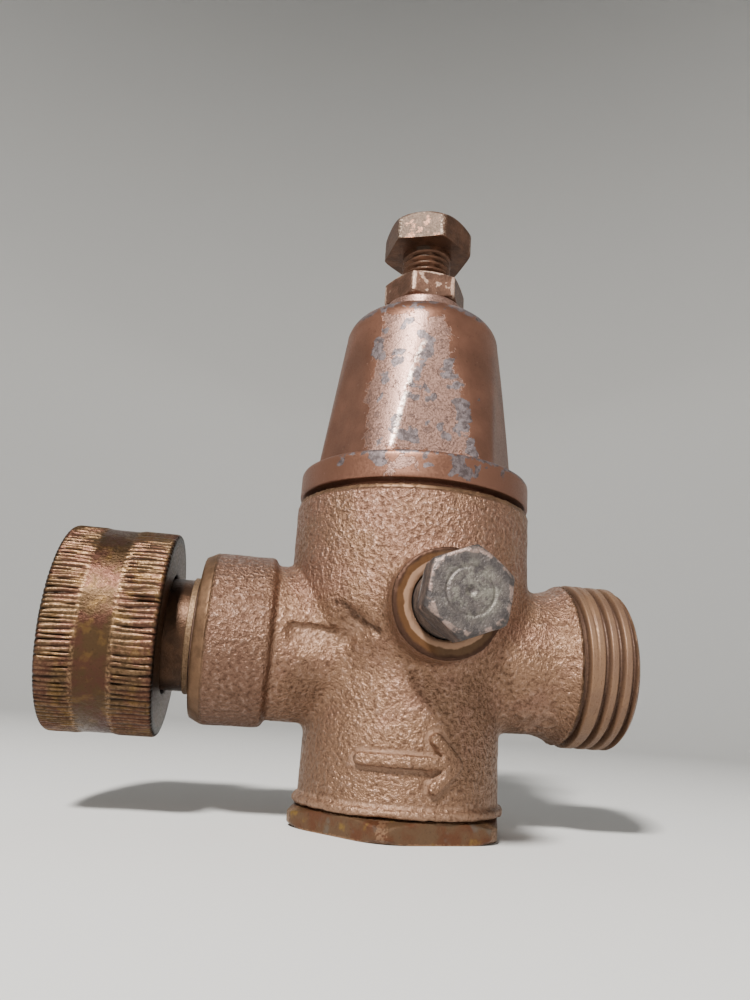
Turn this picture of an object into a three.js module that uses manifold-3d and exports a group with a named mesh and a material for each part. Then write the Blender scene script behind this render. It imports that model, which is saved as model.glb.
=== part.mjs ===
// Direct-acting pressure reducing valve for a garden-hose line.
// Millimetres, +Z up along the spindle, +X along the flow, -Y towards the gauge port.
// The origin is the centre of the bottom cap's flat base.
import * as THREE from "three";
import { mergeVertices } from "three/addons/utils/BufferGeometryUtils.js";
import Module from "manifold-3d";

const wasm = await Module();
wasm.setup();

// Fineness of round shapes.
const ROUND = 32;
const SMALL_ROUND = 20;

// Axes.
const FLOW_Z = 27.05;
const GAUGE_X = 1.6;
const GAUGE_Z = 32.6;

// Running and seating gaps between neighbours.
const SEAT_GAP = 0.1;
const THREAD_GAP = 0.2;

// Bottom cap.
const CAP_TOP = 3.1;
const CAP_ACROSS_FLATS = 31.4;
const CAP_CORNER_R = 17.6;
const CAP_FACING = 14;
const CAP_FLOOR = 3.6;
const CAP_SPIGOT_R = 12.1;
const CAP_SPIGOT_TOP = 9.5;
const CAP_CUP_R = 10.0;
const CAP_POST_R = 3.2;
const CAP_POST_TOP = 8.4;
const GUIDE_BOTTOM = 4.4;

// Body, outside.
const BODY_BASE = 3.2;
const RIM_R = 16.55;
const RIM_TOP = 5.1;
const BARREL_R = 15.7;
const BARREL_TOP = 24.0;
const CHAMBER_R = 19.8;
const CHAMBER_BASE = 31.5;
const CHAMBER_TOP = 50.0;
const LIP_R = 19.6;
const BODY_TOP = 50.6;

// Body, inside.
const BARREL_BORE_R = 12.4;
const BARREL_BORE_TOP = 22.5;
const SEAT_HOLE_R = 7.3;
const OUTLET_CHAMBER_R = 15.0;
const LEDGE_Z = 42.0;
const BONNET_BORE_R = 17.6;

// Inlet side.
const INLET_FACE_X = -33.65;
const INLET_FACE_R = 12.63;
const INLET_BOSS_R = 13.5;
const INLET_BOSS_X = -22.2;
const INLET_NECK_R = 12.5;
const INLET_SOCKET_R = 8.2;
const INLET_SOCKET_X = -22.0;
const CHANNEL_R = 6.0;

// Outlet side.
const OUTLET_FACE_X = 35.2;
const OUTLET_NECK_R = 11.8;
const OUTLET_FLARE_X = 21.2;
const OUTLET_SHOULDER_X = 24.9;
const HOSE_CREST_R = 13.5;
const HOSE_ROOT_R = 12.2;
const HOSE_PITCH = 2.209;
const HOSE_TURNS = 4;
const OUTLET_BORE_R = 9.0;
const OUTLET_CHANNEL_R = 6.4;

// Gauge port and its plug.
const GAUGE_FACE_Y = -23.3;
const GAUGE_BOSS_R = 7.95;
const GAUGE_THREAD_R = 5.2;
const GAUGE_HOLE_R = 3.0;
const PLUG_HEAD_Y = -30.2;
const PLUG_END_Y = -35.2;
const PLUG_ACROSS_FLATS = 11.0;
const PLUG_CORNER_ANGLE = 8.5;

// Bonnet.
const BONNET_BASE = 51.55;
const FLANGE_R = 19.67;
const FLANGE_TOP = 56.1;
const CONE_R = 17.2;
const CONE_TOP = 82.0;
const CONE_TOP_R = 13.9;
const SHOULDER_R = 5.5;
const BOSS_R = 7.25;
const BOSS_TOP = 90.2;
const FLAT_APOTHEM = 15.8;
const FLAT_SLOPE = 0.0669;
const SPRING_ROOM_R = 12.0;
const SPRING_ROOM_TOP = 82.5;
const SPRING_ROOM_TAPER_Z = 77;
const SPRING_ROOM_TOP_R = 8;
const SPIGOT_R = 17.4;
const SPIGOT_BORE_R = 14.6;

// Adjusting screw, lock nut and spring button.
const SCREW_R = 4.6;
const SCREW_TIP = 76.2;
const SCREW_HEAD_BASE = 101.7;
const SCREW_TOP = 107.3;
const SCREW_ACROSS_FLATS = 14.7;
const SCREW_FACING = -21;
const NUT_BASE = 90.3;
const NUT_TOP = 95.0;
const NUT_ACROSS_FLATS = 13.4;
const NUT_FACING = 2.7;
const BUTTON_BASE = 74.0;
const BUTTON_TOP = 78.2;
const BUTTON_R = 10.2;
const BUTTON_RIM_HEIGHT = 2.4;
const BUTTON_CROWN_R = 7.6;
const BUTTON_LAND_R = 4.9;
const BUTTON_SOCKET_R = 2.4;
const BUTTON_SOCKET_DEPTH = 2.2;

// Diaphragm stack.
const DIAPHRAGM_R = 17.3;
const DIAPHRAGM_THICKNESS = 1.05;
const DIAPHRAGM_RISE = 4.0;
const SLIP_RING_TOP = 44.0;
const WASHER_R = 9.6;
const WASHER_THICKNESS = 1.55;
const PLATE_R = 10.0;
const PLATE_THICKNESS = 1.5;
const PILOT_R = 6.2;
const PILOT_BORE_R = 5.0;
const PILOT_HEIGHT = 2.0;
const DIAPHRAGM_CLAMP_R = 14.3;
const DIAPHRAGM_CROWN_R = 10.6;
const DIAPHRAGM_NUT_ACROSS_FLATS = 7.5;

// Stem and disc.
const STEM_THREAD_R = 2.2;
const STEM_R = 3.0;
const STEM_TAIL_R = 1.85;
const STEM_BOTTOM = 6.7;
const STEM_TOP = 52.4;
const ORIFICE_R = 4.5;
const NOZZLE_Z = 20.6;
const DISC_TOP = 20.5;
const HOLDER_BOTTOM = 12.6;
const HOLDER_FLOOR = 17.0;
const HOLDER_TOP = 19.0;
const HOLDER_R = 7.4;
const HOLDER_CUP_R = 6.5;
const DISC_R = 6.4;
const DISC_NUT_BOTTOM = 10.7;
const DISC_NUT_ACROSS_FLATS = 6.4;
const STEM_STEP_Z = 10.6;
const STEM_COLLAR_R = 3.7;
const STEM_COLLAR_HEIGHT = 1.4;
const SEAT_FLANGE_BASE = 31.95;
const SEAT_FLANGE_THICKNESS = 2.2;
const SEAT_FLANGE_ACROSS_FLATS = 17;
const SEAT_GASKET_R = 8.3;

// Strainer.
const STRAINER_INNER_R = 9.1;
const STRAINER_OUTER_R = 9.7;
const STRAINER_ROWS = 3;
const STRAINER_COLUMNS = 6;
const STRAINER_ROW_PITCH = 4.2;
const STRAINER_WINDOW = [4, 2.6, 3];

// Swivel coupling.
const TAIL_COLLAR_R = 9.2;
const TAIL_NECK_R = 8.8;
const TAIL_BORE_R = 6.2;
const SWIVEL_LEFT_X = -54.5;
const SWIVEL_RIGHT_X = -38.2;
const SWIVEL_R = 15.9;
const SWIVEL_WEB = 3.0;
const SWIVEL_HOLE_R = 9.4;
const SWIVEL_THREAD_R = 13.0;
const KNURL_LEFT_X = -49.4;
const KNURL_RIGHT_X = -44.2;
const TAIL_END_X = -45.0;
const TAIL_RIGHT_X = -23.0;
const TAIL_HEAD_R = 8.4;
const TAIL_LIP_R = 12.3;
const TAIL_LIP_THICKNESS = 2.0;
const COLLAR_X = -34.2;
const COLLAR_THICKNESS = 0.9;
const HOSE_WASHER_INNER_R = 8.6;
const HOSE_WASHER_OUTER_R = 12.7;
const HOSE_WASHER_THICKNESS = 2.4;

// Springs.
const MAIN_WIRE = 2.6;
const MAIN_COIL_R = 8.2;
const MAIN_TURNS = 6.5;
const CLOSING_WIRE = 1.0;
const CLOSING_COIL_R = 4.45;
const CLOSING_TURNS = 5.5;

const GUNMETAL = { color: 0x9c7a66, roughness: 0.6, metalness: 0.7 };
const PLATED = { color: 0x8e6a58, roughness: 0.4, metalness: 0.8 };
const BRASS = { color: 0xa08040, roughness: 0.4, metalness: 0.9 };
const STEEL = { color: 0x7f8284, roughness: 0.45, metalness: 0.9 };
const RUBBER = { color: 0x222222, roughness: 0.8, metalness: 0.0 };
const FIBRE = { color: 0x8a4a34, roughness: 0.9, metalness: 0.0 };

const radians = THREE.MathUtils.degToRad;

// A clean closed geometry: shared vertices, no collapsed triangles, faces pointing out.
function closed(geometry) {
  const bare = new THREE.BufferGeometry();
  bare.setAttribute("position", geometry.getAttribute("position").clone());
  bare.setIndex(geometry.getIndex());
  const merged = mergeVertices(bare, 1e-4);
  const position = merged.getAttribute("position");
  const index = merged.getIndex().array;
  const kept = [];
  let volume = 0;
  const [a, b, c] = [new THREE.Vector3(), new THREE.Vector3(), new THREE.Vector3()];
  for (let i = 0; i < index.length; i += 3) {
    const [p, q, r] = [index[i], index[i + 1], index[i + 2]];
    if (p === q || q === r || r === p) {
      continue;
    }
    kept.push(p, q, r);
    a.fromBufferAttribute(position, p);
    b.fromBufferAttribute(position, q);
    c.fromBufferAttribute(position, r);
    volume += a.dot(b.cross(c));
  }
  if (volume < 0) {
    kept.reverse();
  }
  merged.setIndex(kept);
  return merged;
}

function solid(geometry) {
  const tidy = closed(geometry);
  return new wasm.Manifold(new wasm.Mesh({
    numProp: 3,
    vertProperties: Float32Array.from(tidy.getAttribute("position").array),
    triVerts: Uint32Array.from(tidy.getIndex().array),
  }));
}

function fromSolid(body) {
  const { vertProperties, triVerts } = body.getMesh();
  const geometry = new THREE.BufferGeometry();
  geometry.setAttribute("position", new THREE.BufferAttribute(Float32Array.from(vertProperties), 3));
  geometry.setIndex(new THREE.BufferAttribute(Uint32Array.from(triVerts), 1));
  return geometry;
}

// A turned solid from [radius, height] points: along +Z, along +X at the flow axis, or along -Y.
function turned(profile, segments = ROUND) {
  const points = profile.map(([r, h]) => new THREE.Vector2(r, h));
  return new THREE.LatheGeometry(points, segments).rotateX(Math.PI / 2);
}

function turnedAlongX(profile, segments = ROUND) {
  const points = profile.map(([r, x]) => new THREE.Vector2(r, x));
  return new THREE.LatheGeometry(points, segments).rotateZ(-Math.PI / 2).translate(0, 0, FLOW_Z);
}

function turnedAtGauge(profile, segments = SMALL_ROUND) {
  const points = profile.map(([r, y]) => new THREE.Vector2(r, y));
  return new THREE.LatheGeometry(points, segments).translate(GAUGE_X, 0, GAUGE_Z);
}

// Small and hidden pieces are turned with fewer facets.
function turnedSmall(profile) {
  return turned(profile, SMALL_ROUND);
}

function rod(radius, low, high) {
  return [[0, low], [radius, low], [radius, high], [0, high]];
}

function tube(inner, outer, low, high) {
  return [[inner, low], [outer, low], [outer, high], [inner, high], [inner, low]];
}

// A hexagonal prism or frustum along +Z; facing is a flat's normal, in degrees from -Y towards +X.
function hexagon(apothemLow, apothemHigh, low, high, facing) {
  const toCorner = 1 / Math.cos(Math.PI / 6);
  const prism = new THREE.CylinderGeometry(apothemHigh * toCorner, apothemLow * toCorner, high - low, 6);
  return prism.rotateX(Math.PI / 2).rotateZ(radians(facing - 30)).translate(0, 0, (low + high) / 2);
}

// A hexagon whose corners are turned off at both ends, with a hole if holeR is given.
function hexNut(acrossFlats, low, high, facing, chamfer, holeR = 0) {
  const flat = acrossFlats / 2;
  const corner = flat / Math.cos(Math.PI / 6);
  const envelope = [
    [0, low], [flat * 0.98, low], [corner, low + chamfer],
    [corner, high - chamfer], [flat * 0.96, high], [0, high],
  ];
  const nut = solid(hexagon(flat, flat, low, high, facing)).intersect(solid(turned(envelope)));
  if (holeR === 0) {
    return nut;
  }
  return nut.subtract(solid(turnedSmall(rod(holeR, low - 1, high + 1))));
}

// A round bar between two points, for the slanted water channels.
function bar(radius, from, to) {
  const length = from.distanceTo(to);
  const geometry = new THREE.CylinderGeometry(radius, radius, length, SMALL_ROUND);
  const along = to.clone().sub(from).normalize();
  geometry.applyQuaternion(new THREE.Quaternion().setFromUnitVectors(new THREE.Vector3(0, 1, 0), along));
  const middle = from.clone().add(to).multiplyScalar(0.5);
  return geometry.translate(middle.x, middle.y, middle.z);
}

// A compression spring with closed end turns between two levels.
class SpringPath extends THREE.Curve {
  constructor(coilR, wire, turns, low, high) {
    super();
    Object.assign(this, { coilR, wire, turns, low, high });
  }

  getPoint(t, target = new THREE.Vector3()) {
    const turn = t * this.turns;
    const closedPitch = this.wire * 1.04;
    const bottom = this.low + this.wire / 2;
    const top = this.high - this.wire / 2;
    const openPitch = (top - bottom - 2 * closedPitch) / (this.turns - 2);
    const fromEnd = Math.min(turn, 1) * closedPitch + Math.max(0, turn - this.turns + 1) * closedPitch;
    const open = THREE.MathUtils.clamp(turn - 1, 0, this.turns - 2) * openPitch;
    const angle = turn * 2 * Math.PI;
    return target.set(this.coilR * Math.cos(angle), this.coilR * Math.sin(angle), bottom + fromEnd + open);
  }
}

function spring(coilR, wire, turns, low, high, sides, stepsPerTurn) {
  const corners = [];
  for (let i = 0; i < sides; i += 1) {
    const angle = (i / sides) * 2 * Math.PI;
    corners.push(new THREE.Vector2((wire / 2) * Math.cos(angle), (wire / 2) * Math.sin(angle)));
  }
  const section = new THREE.Shape(corners);
  const extrudePath = new SpringPath(coilR, wire, turns, low + SEAT_GAP, high - SEAT_GAP);
  const steps = Math.round(turns * stepsPerTurn);
  return new THREE.ExtrudeGeometry(section, { steps, extrudePath, bevelEnabled: false });
}

// ---- Pressure body -------------------------------------------------------------------

// Male hose thread: parallel ridges, with a turned-off first ridge at the mouth.
function hoseThreadProfile() {
  const start = OUTLET_FACE_X - HOSE_PITCH * HOSE_TURNS;
  const profile = [[0, start - 2], [HOSE_ROOT_R, start - 2], [HOSE_ROOT_R, start]];
  for (let turn = 0; turn < HOSE_TURNS; turn += 1) {
    const x = start + turn * HOSE_PITCH;
    const crest = turn === HOSE_TURNS - 1 ? HOSE_CREST_R - 0.5 : HOSE_CREST_R;
    profile.push([crest, x + HOSE_PITCH / 2], [HOSE_ROOT_R, x + HOSE_PITCH]);
  }
  profile.push([0, OUTLET_FACE_X]);
  return profile;
}

function bodyOutside() {
  const casting = solid(turned([
    [0, BODY_BASE], [RIM_R - 0.3, BODY_BASE], [RIM_R, BODY_BASE + 0.3], [RIM_R, RIM_TOP - 0.3],
    [RIM_R - 0.3, RIM_TOP], [BARREL_R, RIM_TOP], [BARREL_R, BARREL_TOP], [CHAMBER_R, CHAMBER_BASE],
    [CHAMBER_R, CHAMBER_TOP], [LIP_R, CHAMBER_TOP + 0.2], [LIP_R, BODY_TOP], [0, BODY_TOP],
  ]));
  const inlet = solid(turnedAlongX([
    [0, INLET_FACE_X], [INLET_FACE_R, INLET_FACE_X], [INLET_BOSS_R, INLET_FACE_X + 1.75],
    [INLET_BOSS_R, INLET_BOSS_X], [INLET_NECK_R, INLET_BOSS_X + 0.8], [INLET_NECK_R, -18], [14, -14], [0, -14],
  ]));
  const outlet = solid(turnedAlongX([
    [0, 13], [OUTLET_NECK_R, 13], [OUTLET_NECK_R, OUTLET_FLARE_X], [HOSE_CREST_R, OUTLET_SHOULDER_X],
    [HOSE_CREST_R + 0.3, OUTLET_SHOULDER_X + 0.9], [0, OUTLET_SHOULDER_X + 0.9],
  ]));
  const thread = solid(turnedAlongX(hoseThreadProfile()));
  const gaugeBoss = solid(turnedAtGauge([
    [0, -12], [GAUGE_BOSS_R, -12], [GAUGE_BOSS_R, GAUGE_FACE_Y + 0.4], [GAUGE_BOSS_R - 0.4, GAUGE_FACE_Y],
    [0, GAUGE_FACE_Y],
  ], ROUND));
  return casting.add(inlet).add(outlet).add(thread).add(gaugeBoss);
}

// Inlet water drops below the seat; outlet water leaves the diaphragm chamber above it.
function bodyHollow() {
  const past = 1;
  const flow = (x, z) => new THREE.Vector3(x, 0, z);
  const bores = [
    turnedSmall(rod(BARREL_BORE_R, BODY_BASE - past, BARREL_BORE_TOP)),
    turnedSmall(rod(BARREL_BORE_R + 2.5, BODY_BASE - past, BODY_BASE + 1.3)),
    turnedSmall(rod(SEAT_HOLE_R, BARREL_BORE_TOP - past, CHAMBER_BASE + past)),
    turnedSmall(rod(OUTLET_CHAMBER_R, CHAMBER_BASE, LEDGE_Z + past)),
    turned(rod(BONNET_BORE_R, LEDGE_Z, BODY_TOP + past)),
    turnedAlongX(rod(INLET_SOCKET_R, INLET_FACE_X - past, INLET_SOCKET_X), SMALL_ROUND),
    bar(CHANNEL_R, flow(-23.5, FLOW_Z - 1), flow(-9.2, 17.5)),
    turnedAlongX(rod(OUTLET_BORE_R, 20, OUTLET_FACE_X + past), SMALL_ROUND),
    bar(OUTLET_CHANNEL_R, flow(23, FLOW_Z), flow(7.5, 38)),
    turnedAtGauge(rod(GAUGE_THREAD_R, -17.5, GAUGE_FACE_Y - past)),
    turnedAtGauge(rod(GAUGE_HOLE_R, -12, -18)),
  ];
  return bores.map(solid).reduce((all, bore) => all.add(bore));
}

function body() {
  return fromSolid(bodyOutside().subtract(bodyHollow()));
}

function bottomCap() {
  const flat = CAP_ACROSS_FLATS / 2;
  const plate = solid(hexagon(flat, flat, 0, CAP_TOP, CAP_FACING)).intersect(solid(turned([
    [0, 0], [CAP_CORNER_R - 0.5, 0], [CAP_CORNER_R, 0.5], [CAP_CORNER_R, CAP_TOP], [0, CAP_TOP],
  ])));
  const spigot = solid(turned([
    [0, 0.5], [CAP_SPIGOT_R, 0.5], [CAP_SPIGOT_R, CAP_SPIGOT_TOP - 0.6],
    [CAP_SPIGOT_R - 0.6, CAP_SPIGOT_TOP], [0, CAP_SPIGOT_TOP],
  ]));
  const cup = solid(turnedSmall(tube(CAP_POST_R, CAP_CUP_R, CAP_FLOOR, CAP_SPIGOT_TOP + 1)));
  const postTop = solid(turnedSmall(rod(CAP_POST_R + 0.5, CAP_POST_TOP, CAP_SPIGOT_TOP + 1)));
  const guide = solid(turnedSmall(rod(STEM_TAIL_R + THREAD_GAP, GUIDE_BOTTOM, CAP_SPIGOT_TOP)));
  return fromSolid(plate.add(spigot).subtract(cup).subtract(postTop).subtract(guide));
}

function capGasket() {
  return turnedSmall(tube(CAP_SPIGOT_R + 0.4, BARREL_BORE_R + 2.2, BODY_BASE, BODY_BASE + 1.2));
}

// ---- Valve seat and strainer ---------------------------------------------------------

function valveSeat() {
  const flangeTop = SEAT_FLANGE_BASE + SEAT_FLANGE_THICKNESS;
  const threadR = SEAT_HOLE_R - THREAD_GAP;
  const nozzle = solid(turnedSmall([
    [ORIFICE_R, NOZZLE_Z], [ORIFICE_R + 0.5, NOZZLE_Z], [ORIFICE_R + 1.1, BARREL_BORE_TOP],
    [threadR, BARREL_BORE_TOP + 0.4], [threadR, flangeTop - 0.5], [ORIFICE_R, flangeTop - 0.5],
    [ORIFICE_R, NOZZLE_Z],
  ]));
  const flange = hexNut(SEAT_FLANGE_ACROSS_FLATS, SEAT_FLANGE_BASE, flangeTop, 0, 0.6, ORIFICE_R);
  return fromSolid(nozzle.add(flange));
}

function seatGasket() {
  return turnedSmall(tube(SEAT_HOLE_R + 0.05, SEAT_GASKET_R, CHAMBER_BASE + 0.05, CHAMBER_BASE + 0.4));
}

function strainer() {
  const [low, high] = [CAP_FLOOR + SEAT_GAP, BARREL_BORE_TOP - SEAT_GAP];
  const wall = solid(turnedSmall(tube(STRAINER_INNER_R, STRAINER_OUTER_R, low, high)));
  const middleR = (STRAINER_INNER_R + STRAINER_OUTER_R) / 2;
  const windows = [];
  for (let row = 0; row < STRAINER_ROWS; row += 1) {
    for (let column = 0; column < STRAINER_COLUMNS; column += 1) {
      const window = new THREE.BoxGeometry(...STRAINER_WINDOW);
      window.translate(middleR, 0, CAP_SPIGOT_TOP + 2 + row * STRAINER_ROW_PITCH);
      window.rotateZ((column / STRAINER_COLUMNS) * 2 * Math.PI);
      windows.push(solid(window));
    }
  }
  return fromSolid(wall.subtract(windows.reduce((all, window) => all.add(window))));
}

// ---- Stem, disc and diaphragm stack --------------------------------------------------

const DIAPHRAGM_BASE = LEDGE_Z + 0.05;
const CENTRE_BASE = DIAPHRAGM_BASE + DIAPHRAGM_RISE;
const CENTRE_TOP = CENTRE_BASE + DIAPHRAGM_THICKNESS;
const PLATE_BASE = CENTRE_TOP + SEAT_GAP;
const PLATE_TOP = PLATE_BASE + PLATE_THICKNESS;
const WASHER_TOP = CENTRE_BASE - SEAT_GAP;
const STEM_HOLE_R = STEM_THREAD_R + SEAT_GAP;

function valveStem() {
  const shoulder = WASHER_TOP - WASHER_THICKNESS - SEAT_GAP;
  return turnedSmall([
    [0, STEM_BOTTOM], [STEM_TAIL_R - 0.5, STEM_BOTTOM], [STEM_TAIL_R, STEM_BOTTOM + 0.5],
    [STEM_TAIL_R, STEM_STEP_Z], [STEM_THREAD_R, STEM_STEP_Z], [STEM_THREAD_R, DISC_TOP + SEAT_GAP],
    [STEM_COLLAR_R, DISC_TOP + SEAT_GAP], [STEM_COLLAR_R, DISC_TOP + STEM_COLLAR_HEIGHT],
    [STEM_R, DISC_TOP + STEM_COLLAR_HEIGHT], [STEM_R, shoulder], [STEM_THREAD_R, shoulder],
    [STEM_THREAD_R, STEM_TOP - 0.5], [STEM_THREAD_R - 0.5, STEM_TOP], [0, STEM_TOP],
  ]);
}

function discHolder() {
  return turnedSmall([
    [STEM_HOLE_R, HOLDER_BOTTOM], [HOLDER_R - 0.8, HOLDER_BOTTOM], [HOLDER_R, HOLDER_BOTTOM + 0.8],
    [HOLDER_R, HOLDER_TOP], [HOLDER_CUP_R, HOLDER_TOP], [HOLDER_CUP_R, HOLDER_FLOOR],
    [STEM_HOLE_R, HOLDER_FLOOR], [STEM_HOLE_R, HOLDER_BOTTOM],
  ]);
}

function seatDisc() {
  return turnedSmall(tube(STEM_HOLE_R, DISC_R, HOLDER_FLOOR + SEAT_GAP, DISC_TOP));
}

function discNut() {
  const top = HOLDER_BOTTOM - SEAT_GAP;
  return fromSolid(hexNut(DISC_NUT_ACROSS_FLATS, DISC_NUT_BOTTOM, top, 0, 0.3, STEM_HOLE_R));
}

function diaphragmWasher() {
  return turnedSmall(tube(STEM_HOLE_R, WASHER_R, WASHER_TOP - WASHER_THICKNESS, WASHER_TOP));
}

function diaphragm() {
  const [clampR, crownR] = [DIAPHRAGM_CLAMP_R, DIAPHRAGM_CROWN_R];
  const slant = 0.4;
  return turnedSmall([
    [STEM_HOLE_R, CENTRE_BASE], [crownR - slant, CENTRE_BASE], [clampR - slant, DIAPHRAGM_BASE],
    [DIAPHRAGM_R, DIAPHRAGM_BASE], [DIAPHRAGM_R, DIAPHRAGM_BASE + DIAPHRAGM_THICKNESS],
    [clampR + slant, DIAPHRAGM_BASE + DIAPHRAGM_THICKNESS], [crownR + slant, CENTRE_TOP],
    [STEM_HOLE_R, CENTRE_TOP], [STEM_HOLE_R, CENTRE_BASE],
  ]);
}

function pressurePlate() {
  return turnedSmall([
    [STEM_HOLE_R, PLATE_BASE], [PLATE_R - 0.4, PLATE_BASE], [PLATE_R, PLATE_BASE + 0.4], [PLATE_R, PLATE_TOP],
    [PILOT_R, PLATE_TOP], [PILOT_R - 0.3, PLATE_TOP + PILOT_HEIGHT], [PILOT_BORE_R, PLATE_TOP + PILOT_HEIGHT],
    [PILOT_BORE_R, PLATE_TOP], [STEM_HOLE_R, PLATE_TOP], [STEM_HOLE_R, PLATE_BASE],
  ]);
}

function diaphragmNut() {
  return fromSolid(hexNut(
    DIAPHRAGM_NUT_ACROSS_FLATS, PLATE_TOP + SEAT_GAP, PLATE_TOP + 3, 0, 0.4, STEM_HOLE_R,
  ));
}

function slipRing() {
  const base = DIAPHRAGM_BASE + DIAPHRAGM_THICKNESS + 0.05;
  return turnedSmall(tube(SPIGOT_BORE_R + 0.2, DIAPHRAGM_R, base, SLIP_RING_TOP));
}

// ---- Bonnet and adjustment -----------------------------------------------------------

// The cone closes over a rounded shoulder to a flat top with a small boss.
function bonnetCone() {
  const profile = [[0, FLANGE_TOP - 1], [CONE_R, FLANGE_TOP - 1], [CONE_R, FLANGE_TOP], [CONE_TOP_R, CONE_TOP]];
  const steps = 6;
  for (let i = 1; i <= steps; i += 1) {
    const angle = radians((i / steps) * 84);
    profile.push([
      CONE_TOP_R - SHOULDER_R * (1 - Math.cos(angle)),
      CONE_TOP + 0.9 * SHOULDER_R * Math.sin(angle),
    ]);
  }
  profile.push([BOSS_R, profile.at(-1)[1] + 0.1], [BOSS_R, BOSS_TOP - 0.3]);
  profile.push([BOSS_R - 0.3, BOSS_TOP], [0, BOSS_TOP]);
  return profile;
}

function bonnet() {
  const high = BOSS_TOP + 2;
  const apothemHigh = FLAT_APOTHEM - FLAT_SLOPE * (high - FLANGE_TOP);
  const flats = solid(hexagon(FLAT_APOTHEM, apothemHigh, FLANGE_TOP, high, 0));
  const bell = solid(turned(bonnetCone())).intersect(flats);
  const flange = solid(turned([
    [0, SLIP_RING_TOP + SEAT_GAP], [SPIGOT_R - 0.4, SLIP_RING_TOP + SEAT_GAP],
    [SPIGOT_R, SLIP_RING_TOP + SEAT_GAP + 0.4], [SPIGOT_R, BONNET_BASE], [FLANGE_R - 0.2, BONNET_BASE],
    [FLANGE_R, BONNET_BASE + 0.2], [FLANGE_R, FLANGE_TOP - 0.6], [FLANGE_R - 0.6, FLANGE_TOP],
    [0, FLANGE_TOP + 0.3],
  ]));
  const springRoom = solid(turnedSmall([
    [0, SLIP_RING_TOP - 1], [SPIGOT_BORE_R, SLIP_RING_TOP - 1], [SPIGOT_BORE_R, BONNET_BASE],
    [SPRING_ROOM_R, BONNET_BASE + 3], [SPRING_ROOM_R, SPRING_ROOM_TAPER_Z],
    [SPRING_ROOM_TOP_R, SPRING_ROOM_TOP], [0, SPRING_ROOM_TOP],
  ]));
  const screwHole = solid(turnedSmall(rod(SCREW_R + 0.15, SPRING_ROOM_TOP - 1, high)));
  return fromSolid(flange.add(bell).subtract(springRoom).subtract(screwHole));
}

function springButton() {
  const socket = BUTTON_TOP - BUTTON_SOCKET_DEPTH;
  return turnedSmall([
    [0, BUTTON_BASE], [BUTTON_R, BUTTON_BASE], [BUTTON_R, BUTTON_BASE + BUTTON_RIM_HEIGHT],
    [BUTTON_CROWN_R, BUTTON_TOP], [BUTTON_LAND_R, BUTTON_TOP], [BUTTON_SOCKET_R, socket], [0, socket],
  ]);
}

function adjustingScrew() {
  const shank = solid(turnedSmall([
    [0, SCREW_TIP], [2.0, SCREW_TIP], [SCREW_R, SCREW_TIP + 2.9], [SCREW_R, SCREW_HEAD_BASE + 1],
    [0, SCREW_HEAD_BASE + 1],
  ]));
  return fromSolid(hexNut(SCREW_ACROSS_FLATS, SCREW_HEAD_BASE, SCREW_TOP, SCREW_FACING, 0.7).add(shank));
}

function lockNut() {
  return fromSolid(hexNut(NUT_ACROSS_FLATS, NUT_BASE, NUT_TOP, NUT_FACING, 0.6, SCREW_R + 0.15));
}

// ---- Fittings ------------------------------------------------------------------------

function gaugePlug() {
  const head = hexNut(PLUG_ACROSS_FLATS, -PLUG_HEAD_Y, -PLUG_END_Y, 0, 0.7);
  const geometry = fromSolid(head).rotateX(Math.PI / 2);
  geometry.rotateY(radians(PLUG_CORNER_ANGLE + 30)).translate(GAUGE_X, 0, GAUGE_Z);
  const shank = turnedAtGauge([
    [0, -17.8], [GAUGE_THREAD_R - 0.5, -17.8], [GAUGE_THREAD_R - 0.15, GAUGE_FACE_Y],
    [GAUGE_THREAD_R - 0.15, PLUG_HEAD_Y - 1], [0, PLUG_HEAD_Y - 1],
  ]);
  return fromSolid(solid(geometry).add(solid(shank)));
}

function tailpiece() {
  const collarLeft = COLLAR_X - COLLAR_THICKNESS;
  const lip = SWIVEL_RIGHT_X - SWIVEL_WEB - SEAT_GAP;
  return turnedAlongX([
    [TAIL_BORE_R, TAIL_END_X], [TAIL_HEAD_R, TAIL_END_X], [TAIL_HEAD_R, lip - TAIL_LIP_THICKNESS],
    [TAIL_LIP_R, lip - TAIL_LIP_THICKNESS], [TAIL_LIP_R, lip], [TAIL_NECK_R, lip],
    [TAIL_NECK_R, collarLeft], [TAIL_COLLAR_R, collarLeft], [TAIL_COLLAR_R, COLLAR_X],
    [INLET_SOCKET_R - THREAD_GAP, COLLAR_X], [INLET_SOCKET_R - THREAD_GAP, TAIL_RIGHT_X],
    [TAIL_BORE_R, TAIL_RIGHT_X], [TAIL_BORE_R, TAIL_END_X],
  ], SMALL_ROUND);
}

function tailpieceWasher() {
  const [low, high] = [COLLAR_X + 0.05, INLET_FACE_X - 0.05];
  return turnedAlongX(tube(INLET_SOCKET_R + 0.05, TAIL_COLLAR_R - 0.1, low, high), SMALL_ROUND);
}

function swivelNut() {
  const web = SWIVEL_RIGHT_X - SWIVEL_WEB;
  return turnedAlongX([
    [SWIVEL_THREAD_R, SWIVEL_LEFT_X], [SWIVEL_R - 0.5, SWIVEL_LEFT_X], [SWIVEL_R, SWIVEL_LEFT_X + 0.5],
    [SWIVEL_R, KNURL_LEFT_X], [SWIVEL_R - 0.2, KNURL_LEFT_X + 0.2],
    [SWIVEL_R - 0.2, KNURL_RIGHT_X - 0.2], [SWIVEL_R, KNURL_RIGHT_X],
    [SWIVEL_R, SWIVEL_RIGHT_X - 0.5], [SWIVEL_R - 0.5, SWIVEL_RIGHT_X], [SWIVEL_HOLE_R, SWIVEL_RIGHT_X],
    [SWIVEL_HOLE_R, web], [SWIVEL_THREAD_R, web], [SWIVEL_THREAD_R, SWIVEL_LEFT_X],
  ]);
}

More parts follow.
